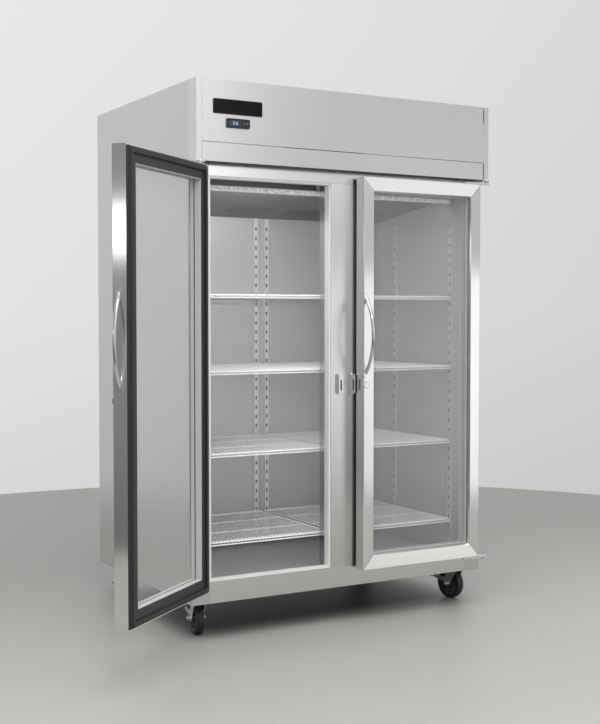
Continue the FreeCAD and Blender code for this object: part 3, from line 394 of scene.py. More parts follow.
def add_tube(bm, points, radius, sides=10, closed=False):
    points = [Vector(point) for point in points]
    count = len(points)
    loops = []
    normal = None
    for index, point in enumerate(points):
        before = points[index - 1] if closed or index else point
        after = points[(index + 1) % count] if closed or index < count - 1 else point
        along = (after - before).normalized()
        if normal is None:
            normal = along.orthogonal()
        normal = (normal - along * normal.dot(along)).normalized()
        side = along.cross(normal)
        loops.append([point + radius * (math.cos(math.tau * k / sides) * normal
                                        + math.sin(math.tau * k / sides) * side) for k in range(sides)])
    skin(bm, loops, closed)


def rounded(points, radius, steps=5, closed=False):
    """Polyline with each corner rounded to a radius."""
    points = [Vector(point) for point in points]
    count = len(points)
    path = []
    for index, corner in enumerate(points):
        if not closed and index in (0, count - 1):
            path.append(corner)
            continue
        into = (points[index - 1] - corner).normalized()
        out = (points[(index + 1) % count] - corner).normalized()
        set_back = radius / math.tan(into.angle(out) / 2)
        for step in range(steps + 1):
            part = step / steps
            first = corner + into * set_back * (1 - part)
            last = corner + out * set_back * part
            path.append(first.lerp(last, part))
    return path


def add_lathe(bm, place, axis, profile, steps=48):
    """Ring of revolution from a closed loop of (along, radius) points."""
    place = Vector(place)
    axis = Vector(axis).normalized()
    side = axis.orthogonal().normalized()
    other = axis.cross(side)
    loops = []
    for step in range(steps):
        angle = math.tau * step / steps
        out = side * math.cos(angle) + other * math.sin(angle)
        loops.append([place + axis * along + out * radius for along, radius in profile])
    made = skin(bm, loops, closed=True)
    bmesh.ops.remove_doubles(bm, verts=made, dist=1e-7)


def add_hex(bm, place, axis, radius, start, stop):
    """Hexagonal nut or bolt head with chamfered corners."""
    place = Vector(place)
    axis = Vector(axis).normalized()
    side = axis.orthogonal().normalized()
    other = axis.cross(side)
    chamfer = radius * 0.1 * (1 if stop > start else -1)
    loops = []
    for along, reach in ((start, radius), (stop - chamfer, radius), (stop, radius * 0.88)):
        loops.append([place + axis * along + reach * (side * math.cos(math.tau * k / 6)
                                                      + other * math.sin(math.tau * k / 6)) for k in range(6)])
    skin(bm, loops)


def add_screw(bm, place, axis, radius=3.2):
    """Domed screw head with a socket, standing on place and pointing along axis."""
    high = radius * 0.55
    profile = [(0, 0), (0, radius), (high * 0.35, radius), (high * 0.8, radius * 0.72), (high, radius * 0.5),
               (high, radius * 0.36), (high * 0.35, radius * 0.36), (high * 0.35, 0)]
    add_lathe(bm, place, axis, profile, 20)


def add_member(bm, outline, widths, side, section, gap=0.06):
    """One mitred member of a rectangular frame in the xz plane.
    Each section point is (a, b, y), lying a + b * member width in from the outline."""
    left, right, low, high = outline
    ends = [[], []]
    for a, b, y in section:
        inset = {name: a + b * width for name, width in widths.items()}
        if side in ("left", "right"):
            x = left + inset["left"] if side == "left" else right - inset["right"]
            ends[0].append((x, y, low + inset["low"] + gap))
            ends[1].append((x, y, high - inset["high"] - gap))
        else:
            z = low + inset["low"] if side == "low" else high - inset["high"]
            ends[0].append((left + inset["left"] + gap, y, z))
            ends[1].append((right - inset["right"] - gap, y, z))
    skin(bm, ends)


def add_ring(bm, outline, section):
    """Rectangular ring in the xz plane, mitred and joined at its corners. Section points are (inset, y)."""
    left, right, low, high = outline
    loops = []
    for x, z, dx, dz in ((left, low, 1, 1), (right, low, -1, 1), (right, high, -1, -1), (left, high, 1, -1)):
        loops.append([(x + dx * inset, y, z + dz * inset) for inset, y in section])
    skin(bm, loops, closed=True)


def finish_piece(name, bm, material, body, replaces=(), place=None, smooth=32.0, bevel=0.0):
    """Turns a bmesh into a named piece that rides on a body."""
    bmesh.ops.recalc_face_normals(bm, faces=bm.faces)
    mesh = bpy.data.meshes.new(name)
    bm.to_mesh(mesh)
    bm.free()
    mesh.materials.append(material)
    mesh.polygons.foreach_set("use_smooth", [True] * len(mesh.polygons))
    mesh.set_sharp_from_angle(angle=math.radians(smooth))
    piece = bpy.data.objects.new(name, mesh)
    bpy.context.scene.collection.objects.link(piece)
    if place is not None:
        piece.matrix_world = place
    if bevel:
        soften(piece, bevel)
    level = piece.modifiers.new("level", "WEIGHTED_NORMAL")
    level.keep_sharp = True
    level.weight = 100
    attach(piece, body)
    if replaces:
        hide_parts(*replaces)
    return piece


def soften(piece, width, weld=False):
    """Small rounded edges, as on folded or moulded pieces."""
    if weld:
        join = piece.modifiers.new("join", "WELD")
        join.merge_threshold = 0.000002
    edges = piece.modifiers.new("edges", "BEVEL")
    edges.width = width * MM
    edges.segments = 2
    edges.limit_method = "ANGLE"
    edges.angle_limit = math.radians(30)
    edges.harden_normals = True


def mirror_mesh(bm):
    for vert in bm.verts:
        vert.co.x = -vert.co.x


def box_mm(node):
    low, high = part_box(node)
    return [value / MM for value in low], [value / MM for value in high]


def joint_row(name):
    return next(row for row in frame["record"]["behaviour"]["joints"] if row["name"] == name)


def left_door_place():
    """From the closed left door to where it stands open at rest."""
    hinge = joint_row("door_left_hinge")
    pivot = Vector(hinge["pos_m"])
    turn = Matrix.Rotation(math.radians(hinge["range_deg"][0]), 4, "Z")
    return Matrix.Translation(pivot) @ turn @ Matrix.Translation(-pivot)


# ---- doors, drawn as the right door, closed ----
FRAME_SECTION = (
    (0, 0, -14), (0, 0, -63), (0.4, 0, -64.5), (1.5, 0, -65.6), (3, 0, -66), (-6, 1, -66), (-5, 1, -65.7),
    (-0.4, 1, -58), (0, 1, -54.5), (0, 1, -54), (-12, 1, -54), (-12, 1, -14),
)
FRAME_MARGIN = 5.0      # retainer's edge to the door's edge
GLASS_LAP = 11.0        # glass behind the frame
GASKET_SECTION = (
    (1, -9), (21, -9), (22, -8.2), (21, -7.4), (17.5, -7.0), (16.2, -6.2), (17.8, -5.2), (19.5, -4.0),
    (20.5, -2.6), (20.3, -1.3), (19, -0.6), (8, -0.6), (6.5, -1.0), (6.0, -2.0), (6.6, -3.2), (5.0, -4.0),
    (3.2, -4.4), (2.4, -5.4), (3.6, -6.4), (1.6, -7.2), (0.2, -7.8), (0, -8.4),
)
SPACER_SECTION = ((11, -49.9), (15, -49.9), (15.4, -49.0), (15.4, -38.0), (15, -37.1), (11, -37.1))
CHANNEL_SECTION = ((12.05, -32.6), (13.6, -32.6), (13.9, -32.0), (13.9, -9.6), (13.5, -9.0), (12.05, -9.0))
DOOR_FACE = -66.0       # front of the closed door
STRAP_X = (535.0, 640.0)
STRAP_Y = (DOOR_FACE, -46.0)
STRAP_T = 6.0
STRAP_SCREWS = (550.0, 590.0)
EYE_PROFILE = ((0, 6.05), (0, 9.4), (0.6, 10), (5.4, 10), (6, 9.4), (6, 6.05))


def door_outline():
    low, high = box_mm("door_right_inner_frame")
    return (low[0] - FRAME_MARGIN, high[0] + FRAME_MARGIN, low[2] - FRAME_MARGIN, high[2] + FRAME_MARGIN)


def glass_outline():
    low, high = box_mm("door_right_glass")
    return (low[0], high[0], low[2], high[2])


def member_widths():
    outer, glass = door_outline(), glass_outline()
    return {
        "left": glass[0] + GLASS_LAP - outer[0],
        "right": outer[1] - glass[1] + GLASS_LAP,
        "low": glass[2] + GLASS_LAP - outer[2],
        "high": outer[3] - glass[3] + GLASS_LAP,
    }


def door_member(side):
    bm = bmesh.new()
    add_member(bm, door_outline(), member_widths(), side, FRAME_SECTION)
    return bm


def door_straps():
    bm = bmesh.new()
    _, _, low, high = door_outline()
    pivot = Vector(joint_row("door_right_hinge")["pos_m"]) / MM
    for start in (high, low - STRAP_T):
        add_box(bm, (STRAP_X[0], STRAP_Y[0], start), (STRAP_X[1], STRAP_Y[1], start + STRAP_T))
        add_lathe(bm, (pivot.x, pivot.y, start), (0, 0, 1), EYE_PROFILE)
        outward = 1 if start == high else -1
        face = start + STRAP_T if start == high else start
        for x in STRAP_SCREWS:
            add_screw(bm, (x, pivot.y, face), (0, 0, outward), 4.0)
    return bm


def door_gasket():
    bm = bmesh.new()
    low, high = box_mm("door_right_gasket")
    add_ring(bm, (low[0], high[0], low[2], high[2]), GASKET_SECTION)
    return bm


def door_spacer():
    bm = bmesh.new()
    add_ring(bm, glass_outline(), SPACER_SECTION)
    return bm


def glazing_channel():
    """Slim channel that lines the retainer's opening behind the glass."""
    bm = bmesh.new()
    add_ring(bm, glass_outline(), CHANNEL_SECTION)
    return bm


def lock_escutcheon():
    """Pressed ring round the key cylinder."""
    bm = bmesh.new()
    place = Vector(joint_row("lock_right_turn")["pos_m"]) / MM
    profile = [(0, 10.2), (0, 13.4), (0.5, 13.4), (1.1, 12.4), (1.2, 11.0), (0.8, 10.2)]
    add_lathe(bm, (place.x, DOOR_FACE, place.z), (0, -1, 0), profile)
    return bm


def add_doors(materials):
    pieces = (
        ("stile_free", lambda: door_member("left"), "stainless_door", "stainless_door", ("frame",)),
        ("stile_hinge", lambda: door_member("right"), "stainless_door", "stainless_door", ("frame",)),
        ("rail_low", lambda: door_member("low"), "stainless_rail", "stainless_door", ("frame",)),
        ("rail_high", lambda: door_member("high"), "stainless_rail", "stainless_door", ("frame",)),
        ("straps", door_straps, "zinc_plate", "zinc_plate", ("frame",)),
        ("seal", door_gasket, "black_rubber", "black_rubber", ("gasket",)),
        ("spacer", door_spacer, "spacer_bar", "stainless_strip", ()),
        ("channel", glazing_channel, "spacer_bar", "stainless_strip", ()),
        ("escutcheon", lock_escutcheon, "chrome_fitting", "chrome_fitting", ()),
    )
    for suffix, build, material, slot, nodes in pieces:
        for side in ("right", "left"):
            bm = build()
            place = None
            if side == "left":
                mirror_mesh(bm)
                place = left_door_place()
            finish_piece("door_%s_%s" % (side, suffix), bm, materials[material], "door_" + side,
                         ["door_%s_%s" % (side, node) for node in nodes], place)


# ---- shelves ----
SHELF_TOPS = (341.0, 676.0, 988.0, 1278.0)
ROD_R = 2.7
ROD_DROP = 4.1          # top of the shelf to the middle of its rods
WIRE_R = 1.7
WIRES = 37
LIP_R = 2.6             # second front rod, under the first
LIP_DROP = 10.0
WIRE_END = 15.0         # bent wire ends, below the top of the shelf
SHELF_X = (15.0, 583.0)
SHELF_Y = (98.0, 687.0)
CROSS_RODS = (122.0, 288.4, 490.7, 664.0)


def add_shelf(bm, top):
    x0, x1 = SHELF_X
    y0, y1 = SHELF_Y
    z = top - ROD_DROP
    corners = [(x0, y0, z), (x1, y0, z), (x1, y1, z), (x0, y1, z)]
    add_tube(bm, rounded(corners, 9.0, 5, True), ROD_R, 10, True)
    for y in CROSS_RODS:
        add_tube(bm, [(x0, y, z), (x1, y, z)], ROD_R, 10)
    lip = [(x0 + 1, y0 + 14, z - 1), (x0 + 1, y0 - 0.8, z - LIP_DROP),
           (x1 - 1, y0 - 0.8, z - LIP_DROP), (x1 - 1, y0 + 14, z - 1)]
    add_tube(bm, rounded(lip, 4.0, 4), LIP_R, 8)
    step = (x1 - x0) / (WIRES + 1)
    for index in range(WIRES):
        x = x0 + step * (index + 1) + RNG.uniform(-0.25, 0.25)
        sag = RNG.uniform(0.0, 0.25)
        line = [(x, y1 + 1.5, top - WIRE_R), (x, (y0 + y1) / 2, top - WIRE_R - sag), (x, y0 + 1, top - WIRE_R),
                (x, y0 - 2.2, top - WIRE_R - 1.0), (x, y0 - 3.6, top - WIRE_R - 3.2),
                (x, y0 - 3.4, top - WIRE_END)]
        add_tube(bm, line, WIRE_R, 8)


def add_shelves(materials):
    for side in ("right", "left"):
        bm = bmesh.new()
        for top in SHELF_TOPS:
            add_shelf(bm, top)
        if side == "left":
            mirror_mesh(bm)
        finish_piece("wire_shelves_" + side, bm, materials["coated_wire"], "cabinet",
                     ["shelves_" + side], smooth=50)


PILASTER_X = (26.0, 575.0)          # each side of the middle, at the back
PILASTER_FACE = 693.0               # front of the rear pilasters
SIDE_PILASTER_Y = (120.0, 528.0)
SIDE_PILASTER_FACE = 593.0
MULLION_PILASTER_FACE = 91.0        # back face of the pilasters on the mullion


def add_pilaster_tops(materials):
    """Plain ends of the rear pilasters, up to the evaporator cover."""
    bm = bmesh.new()
    high = box_mm("pilasters")[1][2]
    for side in (-1, 1):
        for x in PILASTER_X:
            add_box(bm, (side * x - 10, PILASTER_FACE + 0.2, high + 0.1),
                    (side * x + 10, PILASTER_FACE + 6.8, high + 20.5))
    finish_piece("pilaster_tops", bm, materials["stainless_strip"], "cabinet", bevel=0.5)


# ---- light bars ----
LIGHT_X = (30.0, 585.0)
LIGHT_Y = 110.0
LIGHT_LOW = 1664.0
LIGHT_HIGH = 1684.0
LENS_HALF = 14.0        # half the lens width
LENS_DEEP = 12.0
TRAY_T = 4.0
CAP_T = 9.0
GROOVE = 1.6
RIB_PITCH = 9.0


def lens_section(depth):
    """Rounded lens below a flat back, shrunk a little at each groove."""
    half = LENS_HALF - depth
    section = [(LIGHT_Y + half, LIGHT_HIGH - TRAY_T), (LIGHT_Y - half, LIGHT_HIGH - TRAY_T)]
    for step in range(9):
        angle = math.pi + math.pi * step / 8
        section.append((LIGHT_Y + half * math.cos(angle),
                        LIGHT_LOW + LENS_DEEP + (LENS_DEEP - depth) * math.sin(angle)))
    return section


def light_lens():
    bm = bmesh.new()
    x0, x1 = LIGHT_X[0] + CAP_T, LIGHT_X[1] - CAP_T
    count = int((x1 - x0) / RIB_PITCH)
    loops = []
    for index in range(count * 2 + 1):
        x = x0 + (x1 - x0) * index / (count * 2)
        loops.append([(x, y, z) for y, z in lens_section(0.0 if index % 2 else GROOVE)])
    skin(bm, loops)
    return bm


def light_body():
    """Tray, end caps and stems that hold the lens."""
    bm = bmesh.new()
    front, back = LIGHT_Y - LENS_HALF, LIGHT_Y + LENS_HALF
    tray = [(front, LIGHT_HIGH - TRAY_T), (back, LIGHT_HIGH - TRAY_T), (back, LIGHT_HIGH), (front, LIGHT_HIGH)]
    add_prism(bm, tray, LIGHT_X[0] + 2, LIGHT_X[1] - 2)
    for start, stop in ((LIGHT_X[0], LIGHT_X[0] + CAP_T), (LIGHT_X[1] - CAP_T, LIGHT_X[1])):
        add_prism(bm, lens_section(-0.01), start, stop)
    ceiling = box_mm("light_bars")[1][2]
    for x in (LIGHT_X[0] + 20, LIGHT_X[1] - 40):
        add_box(bm, (x, LIGHT_Y - 8, LIGHT_HIGH), (x + 12, LIGHT_Y + 8, ceiling))
    return bm


def add_light_bars(materials):
    for side in ("right", "left"):
        for part, build, material, slot in (("lens", light_lens, "light_lens", "light_lens"),
                                            ("tray", light_body, "breaker_plastic", "breaker_plastic")):
            bm = build()
            if side == "left":
                mirror_mesh(bm)
            finish_piece("light_%s_%s" % (part, side), bm, materials[material], "cabinet",
                         ["light_bars"], smooth=40, bevel=0.6 if part == "tray" else 0)


# ---- casters ----
TYRE_PROFILE = (
    (-13.5, 45), (-15.2, 49), (-16, 53), (-16, 58), (-14.9, 61.4), (-12, 63.2), (-6, 63.5), (6, 63.5),
    (12, 63.2), (14.9, 61.4), (16, 58), (16, 53), (15.2, 49), (13.5, 45),
)
HUB_PROFILE = (
    (-18, 6.06), (-18, 13), (-17.2, 15.6), (-12, 17), (-7.5, 19), (-6, 23), (-6, 38), (-8, 42), (-13, 44.4),
    (-13.4, 45.4), (13.4, 45.4), (13, 44.4), (8, 42), (6, 38), (6, 23), (7.5, 19), (12, 17), (17.2, 15.6),
    (18, 13), (18, 6.06),
)
CASTER_NAMES = ("front_left", "front_right", "rear_left", "rear_right")


def add_casters(materials):
    for name in CASTER_NAMES:
        roll = joint_row("caster_roll_" + name)
        centre = Vector(roll["pos_m"]) / MM
        axle = Vector(roll["axis"])
        node = "caster_wheel_" + name
        bm = bmesh.new()
        add_lathe(bm, centre, axle, TYRE_PROFILE, 72)
        finish_piece("tyre_" + name, bm, materials["black_tyre"], "wheel_" + name, [node], smooth=40)
        bm = bmesh.new()
        add_lathe(bm, centre, axle, HUB_PROFILE, 72)
        radial = axle.cross(Vector((0, 0, 1))).normalized()
        for index in range(8):
            spoke = Matrix.Rotation(math.tau * index / 8, 3, axle) @ radial
            for side in (-1, 1):
                tip = centre + axle * side * 7.0
                add_tube(bm, [tip + spoke * 17, tip + spoke * 42], 2.2, 6)
        finish_piece("hub_" + name, bm, materials["black_plastic"], "wheel_" + name, [node])
        bm = bmesh.new()
        for side in (-1, 1):
            add_hex(bm, centre, axle * side, 9.6, 29.0, 34.0)
            add_lathe(bm, centre, axle * side, [(34, 0), (34, 5.2), (36.4, 5.2), (37.4, 4.2), (37.4, 0)], 24)
        swivel = Vector(joint_row("caster_swivel_" + name)["pos_m"]) / MM
        add_hex(bm, (swivel.x, swivel.y, 0), (0, 0, 1), 10.0, 136.4, 129.5)
        finish_piece("caster_nuts_" + name, bm, materials["zinc_plate"], "swivel_" + name)
        bm = bmesh.new()
        for dx in (-37, 37):
            for dy in (-24, 24):
                add_hex(bm, (swivel.x + dx, swivel.y + dy, 0), (0, 0, 1), 7.4, 143.0, 138.6)
        finish_piece("caster_bolts_" + name, bm, materials["zinc_plate"], "cabinet")


# ---- canopy fittings ----
SEGMENTS = {
    "a": ((0.1, 1.0), (0.9, 1.0)), "b": ((1.0, 0.9), (1.0, 0.55)), "c": ((1.0, 0.45), (1.0, 0.1)),
    "d": ((0.1, 0.0), (0.9, 0.0)), "e": ((0.0, 0.1), (0.0, 0.45)), "f": ((0.0, 0.55), (0.0, 0.9)),
    "g": ((0.1, 0.5), (0.9, 0.5)),
}
DIGITS = {"3": "abgcd", "8": "abcdefg"}


def display_digits():
    """Generic seven-segment temperature reading."""
    bm = bmesh.new()
    low, high = box_mm("controller_display")
    front = low[1] - 0.12
    tall = (high[2] - low[2]) * 0.56
    wide = tall * 0.52
    base = low[2] + (high[2] - low[2] - tall) / 2
    for place, digit in ((low[0] + 15.0, "3"), (low[0] + 28.0, "8")):
        for name in DIGITS[digit]:
            (x0, z0), (x1, z1) = SEGMENTS[name]
            start = (place + wide * x0, front, base + tall * z0)
            stop = (place + wide * x1, front, base + tall * z1)
            add_tube(bm, [start, stop], 0.55, 6)
    return bm


def rounded_outline(low, high, inset, corner, steps=6):
    """Closed (x, z) outline with rounded corners."""
    x0, x1, z0, z1 = low[0] + inset, high[0] - inset, low[2] + inset, high[2] - inset
    radius = max(corner - inset, 0.5)
    path = []
    for cx, cz, start in ((x1 - radius, z1 - radius, 0), (x0 + radius, z1 - radius, 90),
                          (x0 + radius, z0 + radius, 180), (x1 - radius, z0 + radius, 270)):
        for step in range(steps + 1):
            angle = math.radians(start + 90 * step / steps)
            path.append((cx + radius * math.cos(angle), cz + radius * math.sin(angle)))
    return path


def add_trim(bm, node, corner, section):
    """Raised moulding that follows a plate's rounded outline. Section points are (inset, y from its face)."""
    low, high = box_mm(node)
    loops = []
    for inset, rise in section:
        loops.append([(x, low[1] + rise, z) for x, z in rounded_outline(low, high, inset, corner)])
    skin(bm, loops, closed=True)


def add_canopy_fittings(materials):
    bm = bmesh.new()
    add_trim(bm, "badge_plate", 6.0, [(0.6, 0.1), (0.9, -0.7), (1.6, -1.0), (2.4, -0.8), (2.8, 0.1)])
    finish_piece("badge_rim", bm, materials["badge_rim"], "cabinet", smooth=50)
    bm = bmesh.new()
    add_trim(bm, "controller_bezel", 5.0, [(0.3, 0.1), (0.6, -0.5), (1.2, -0.7), (1.8, -0.5), (2.1, 0.1)])
    finish_piece("controller_rim", bm, materials["controller_black"], "cabinet", smooth=50)
    finish_piece("display_digits", display_digits(), materials["digit_glow"], "cabinet")


CANOPY_SHADOW_STRIP = (-618, 618, -47.5, -0.6, 2.2)     # black strip painted as the shadow below the canopy: left, right, front, back, depth below the strip
END_GAP = (632.5, 641, -46.9, -45.5)            # left, right, front, back of the dark backing that closes the gaps, painted shade
CANOPY_SEAM = 1820
CORNER_GAP = (1984, 2046)
LATCH_SLOT = (28.0, 2.7, -10.5, -4.8, 905.4, 946.6)     # dark block painted as shade in each latch slot: middle, half width, front, back, low, high
HOLLOW_HALF = 8.0
HOLLOW_T = 1.6                                  # half the backing's thickness
HOLLOW_DEEP = 3.6                               # pilaster's face to the middle of its backing


def add_shadow_blocks(materials):
    """Dark blocks where there is only shade: a black strip below the canopy paints the shadow under it, and dark
    backings paint the shade in its end gaps, the latch slots and the pilaster slots.
    """
    low, _ = box_mm("canopy_lower_strip")
    left, right, front, back, depth = CANOPY_SHADOW_STRIP
    bm = bmesh.new()
    add_box(bm, (left, front, low[2] - depth), (right, back, low[2]))
    left, right, front, back = END_GAP
    for bottom, top in ((low[2] + 2, CANOPY_SEAM), CORNER_GAP):
        add_box(bm, (left, front, bottom), (right, back, top))
    middle, half, front, back, bottom, top = LATCH_SLOT
    for x in (-middle, middle):
        add_box(bm, (x - half, front, bottom), (x + half, back, top))
    finish_piece("canopy_shadow_blocks", bm, materials["black_rubber"], "cabinet", bevel=0.5)
    bm = bmesh.new()
    low, high = box_mm("pilasters")
    z0, z1 = low[2] + 1, high[2] - 1
    for side in (-1, 1):
        for x, y in ((PILASTER_X[0], PILASTER_FACE + HOLLOW_DEEP), (PILASTER_X[1], PILASTER_FACE + HOLLOW_DEEP),
                     (PILASTER_X[0], MULLION_PILASTER_FACE - HOLLOW_DEEP)):
            add_box(bm, (side * x - HOLLOW_HALF, y - HOLLOW_T, z0), (side * x + HOLLOW_HALF, y + HOLLOW_T, z1))
        x = side * (SIDE_PILASTER_FACE + HOLLOW_DEEP)
        for y in SIDE_PILASTER_Y:
            add_box(bm, (x - HOLLOW_T, y - HOLLOW_HALF, z0), (x + HOLLOW_T, y + HOLLOW_HALF, z1))
    finish_piece("pilaster_slot_shades", bm, materials["motor_grey"], "cabinet", bevel=0.3)


# ---- fixings ----
SCREW_ROWS = (0.03, 0.5, 0.97)      # along a pilaster's length
SCREW_LIFT = 7.0                    # from there to between two slots
LATCH_X = 25.0
LATCH_FACE = -3.0
BRACKET_SCREWS = (634.5, 655.0)
BRACKET_FACE = -4.1


def add_fixings(materials):
    bm = bmesh.new()
    low, high = box_mm("door_strikes")
    for side in (-1, 1):
        for z in (low[2] + 3.2, high[2] - 3.2):
            add_screw(bm, (side * LATCH_X, LATCH_FACE, z), (0, -1, 0), 2.6)
    finish_piece("strike_screws", bm, materials["zinc_plate"], "cabinet")
    bm = bmesh.new()
    low, high = box_mm("pilasters")
    heights = [low[2] + (high[2] - low[2]) * part + SCREW_LIFT for part in SCREW_ROWS]
    for side in (-1, 1):
        for x in PILASTER_X:
            for z in heights:
                add_screw(bm, (side * x, PILASTER_FACE, z), (0, -1, 0), 2.8)
        for y in SIDE_PILASTER_Y:
            for z in heights:
                add_screw(bm, (side * SIDE_PILASTER_FACE, y, z), (-side, 0, 0), 2.8)
    finish_piece("pilaster_screws", bm, materials["zinc_plate"], "cabinet")
    bm = bmesh.new()
    low, high = box_mm("hinge_brackets")
    for side in (-1, 1):
        for z in (low[2] + 6, high[2] - 6):
            for x in BRACKET_SCREWS:
                add_screw(bm, (side * x, BRACKET_FACE, z), (0, -1, 0), 2.4)
    finish_piece("bracket_screws", bm, materials["zinc_plate"], "cabinet")


# ---- machinery ----
FIN_STEP = 3.2
FIN_T = 0.35
COIL_ROWS = 9
COIL_END = 15.0         # first and last tube from the coil's floor and top
COIL_FLOOR = 10.0       # coil above its feet
FOOT_WIDE = 22.0
PLATE_T = 2.0
TUBE_R = 4.0
TUBE_IN = 11.0          # tube's middle from the fins' edge
BEND_OUT = 6.0


def add_condenser(materials):
    low, high = box_mm("condenser_coil")
    left, right = low[0] + PLATE_T, high[0] - PLATE_T
    front, back = low[1] + 6.0, high[1] - 6.0
    floor, top = low[2] + COIL_FLOOR, high[2]
    bm = bmesh.new()
    count = int((right - left) / FIN_STEP)
    for index in range(count + 1):
        x = left + (right - left) * index / count
        add_box(bm, (x - FIN_T / 2, front, floor + 1), (x + FIN_T / 2, back, top - 1))
    finish_piece("condenser_fins", bm, materials["coil_fins"], "cabinet", ["condenser_coil"])
    bm = bmesh.new()
    for x0, x1 in ((low[0], left), (right, high[0])):
        add_box(bm, (x0, low[1], floor), (x1, high[1], top))
        add_box(bm, (x0, low[1], low[2] + PLATE_T), (x1, high[1], floor))
    for x0, x1 in ((low[0], low[0] + FOOT_WIDE), (high[0] - FOOT_WIDE, high[0])):
        add_box(bm, (x0, low[1], low[2]), (x1, high[1], low[2] + PLATE_T))
    for z in (floor, top - PLATE_T):
        add_box(bm, (left, low[1] + 2, z), (right, high[1] - 2, z + PLATE_T))
    finish_piece("condenser_plates", bm, materials["galvanised_sheet"], "cabinet",
                 ["condenser_coil"], bevel=0.4)
    bm = bmesh.new()
    near, far = front + TUBE_IN, back - TUBE_IN
    pitch = (top - floor - 2 * COIL_END) / (COIL_ROWS - 1)
    for row in range(COIL_ROWS):
        z = floor + COIL_END + pitch * row
        for y in (near, far):
            add_tube(bm, [(left - 1, y, z), (right + 1, y, z)], TUBE_R, 10)
        side, reach = (left, -BEND_OUT) if row % 2 else (right, BEND_OUT)
        bend = [(side, near, z), (side + reach, near, z), (side + reach, far, z), (side, far, z)]
        add_tube(bm, rounded(bend, 5.0, 5), TUBE_R, 10)
    finish_piece("condenser_tubes", bm, materials["copper_tube"], "cabinet", ["condenser_coil"],
                 smooth=50)


GUARD_Y = 154.2
GUARD_RINGS = (28.0, 46.0, 64.0, 82.0, 100.0)
GUARD_REACH = 114.0


def add_fan_guard(materials):
    bm = bmesh.new()
    spin = Vector(joint_row("condenser_fan_spin")["pos_m"]) / MM
    start = Vector((spin.x, GUARD_Y, spin.z))
    for radius in GUARD_RINGS:
        angles = [math.tau * k / 48 for k in range(48)]
        ring = [start + radius * Vector((math.cos(angle), 0, math.sin(angle))) for angle in angles]
        add_tube(bm, ring, 1.1, 6, True)
    for k in range(6):
        angle = math.tau * (k + 0.5) / 6
        outward = Vector((math.cos(angle), 0, math.sin(angle)))
        add_tube(bm, [start + outward * GUARD_RINGS[0], start + outward * GUARD_REACH], 1.4, 6)
    finish_piece("fan_guard", bm, materials["compressor_black"], "cabinet", smooth=50)


COMPRESSOR_AT = (330.0, 560.0)
SHELL_SEAM = 92.0       # above the feet
SEAM_PROFILE = ((-4, 81.5), (-4, 84.5), (-2.5, 85.6), (2.5, 85.6), (4, 84.5), (4, 81.5))
FOOT_BOLTS = (85.0, 70.0)
GLAND_AT = Vector((-535, 860))
LID_HIGH = 90.0         # junction box lid above its base


def add_compressor_details(materials):
    low, _ = box_mm("compressor")
    x, y = COMPRESSOR_AT
    bm = bmesh.new()
    add_lathe(bm, (x, y, low[2] + SHELL_SEAM), (0, 0, 1), SEAM_PROFILE, 72)
    finish_piece("compressor_seam", bm, materials["compressor_black"], "cabinet")
    bm = bmesh.new()
    for dx in (-FOOT_BOLTS[0], FOOT_BOLTS[0]):
        for dy in (-FOOT_BOLTS[1], FOOT_BOLTS[1]):
            add_hex(bm, (x + dx, y + dy, low[2]), (0, 0, 1), 8.0, 10.0, 16.0)
            add_lathe(bm, (x + dx, y + dy, low[2]), (0, 0, 1), [(16, 0), (16, 4), (22, 4), (23, 3), (23, 0)], 20)
    finish_piece("compressor_nuts", bm, materials["zinc_plate"], "cabinet")
    bm = bmesh.new()
    add_screw(bm, (x + 100, y, low[2] + 90), (1, 0, 0), 4.0)
    box_low, box_high = box_mm("power_inlet")
    for corner_x in (box_low[0] + 10, box_high[0] - 10):
        for corner_y in (box_low[1] + 10, box_high[1] - 10):
            if (Vector((corner_x, corner_y)) - GLAND_AT).length > 30:
                add_screw(bm, (corner_x, corner_y, box_low[2] + LID_HIGH), (0, 0, 1), 3.6)
    finish_piece("machine_screws", bm, materials["zinc_plate"], "cabinet")


LOUVRE_X = (-390.0, -130.0, 130.0, 390.0)
LOUVRE_ROWS = 9
LOUVRE_LOW = 1800.0
LOUVRE_PITCH = 24.0
BLADE_HALF = 114.0


def add_louvres(materials):
    """Slanting blades behind the slots of the back panel."""
    bm = bmesh.new()
    inner = box_mm("back_panel")[1][1] - 1.5
    for x in LOUVRE_X:
        for row in range(LOUVRE_ROWS):
            z = LOUVRE_LOW + LOUVRE_PITCH * row
            add_prism(bm, [(inner, z + 10), (inner, z + 8.4), (inner - 12, z - 3), (inner - 13, z - 2)],
                      x - BLADE_HALF, x + BLADE_HALF)
    finish_piece("louvre_blades", bm, materials["junction_grey"], "cabinet")


SOFT_EDGES = {
    0.5: ("side_panel_left", "side_panel_right", "back_panel", "canopy_panel", "canopy_lower_strip",
          "canopy_end_caps", "corner_posts", "front_rails", "mullion", "evaporator_cover", "fan_shroud",
          "machine_deck", "caster_fork_front_left", "caster_fork_front_right", "caster_fork_rear_left",
          "caster_fork_rear_right", "breaker_strips"),
    0.6: ("badge_plate", "controller_bezel", "door_strikes", "hinge_brackets", "caster_plates",
          "brake_pedal_front_left", "brake_pedal_front_right", "power_inlet", "base_panel",
          "door_left_inner_frame", "door_right_inner_frame", "shelf_clips"),
}


def soften_cad_nodes():
    for width, names in SOFT_EDGES.items():
        for name in names:
            soften(NODES[name], width, weld=True)


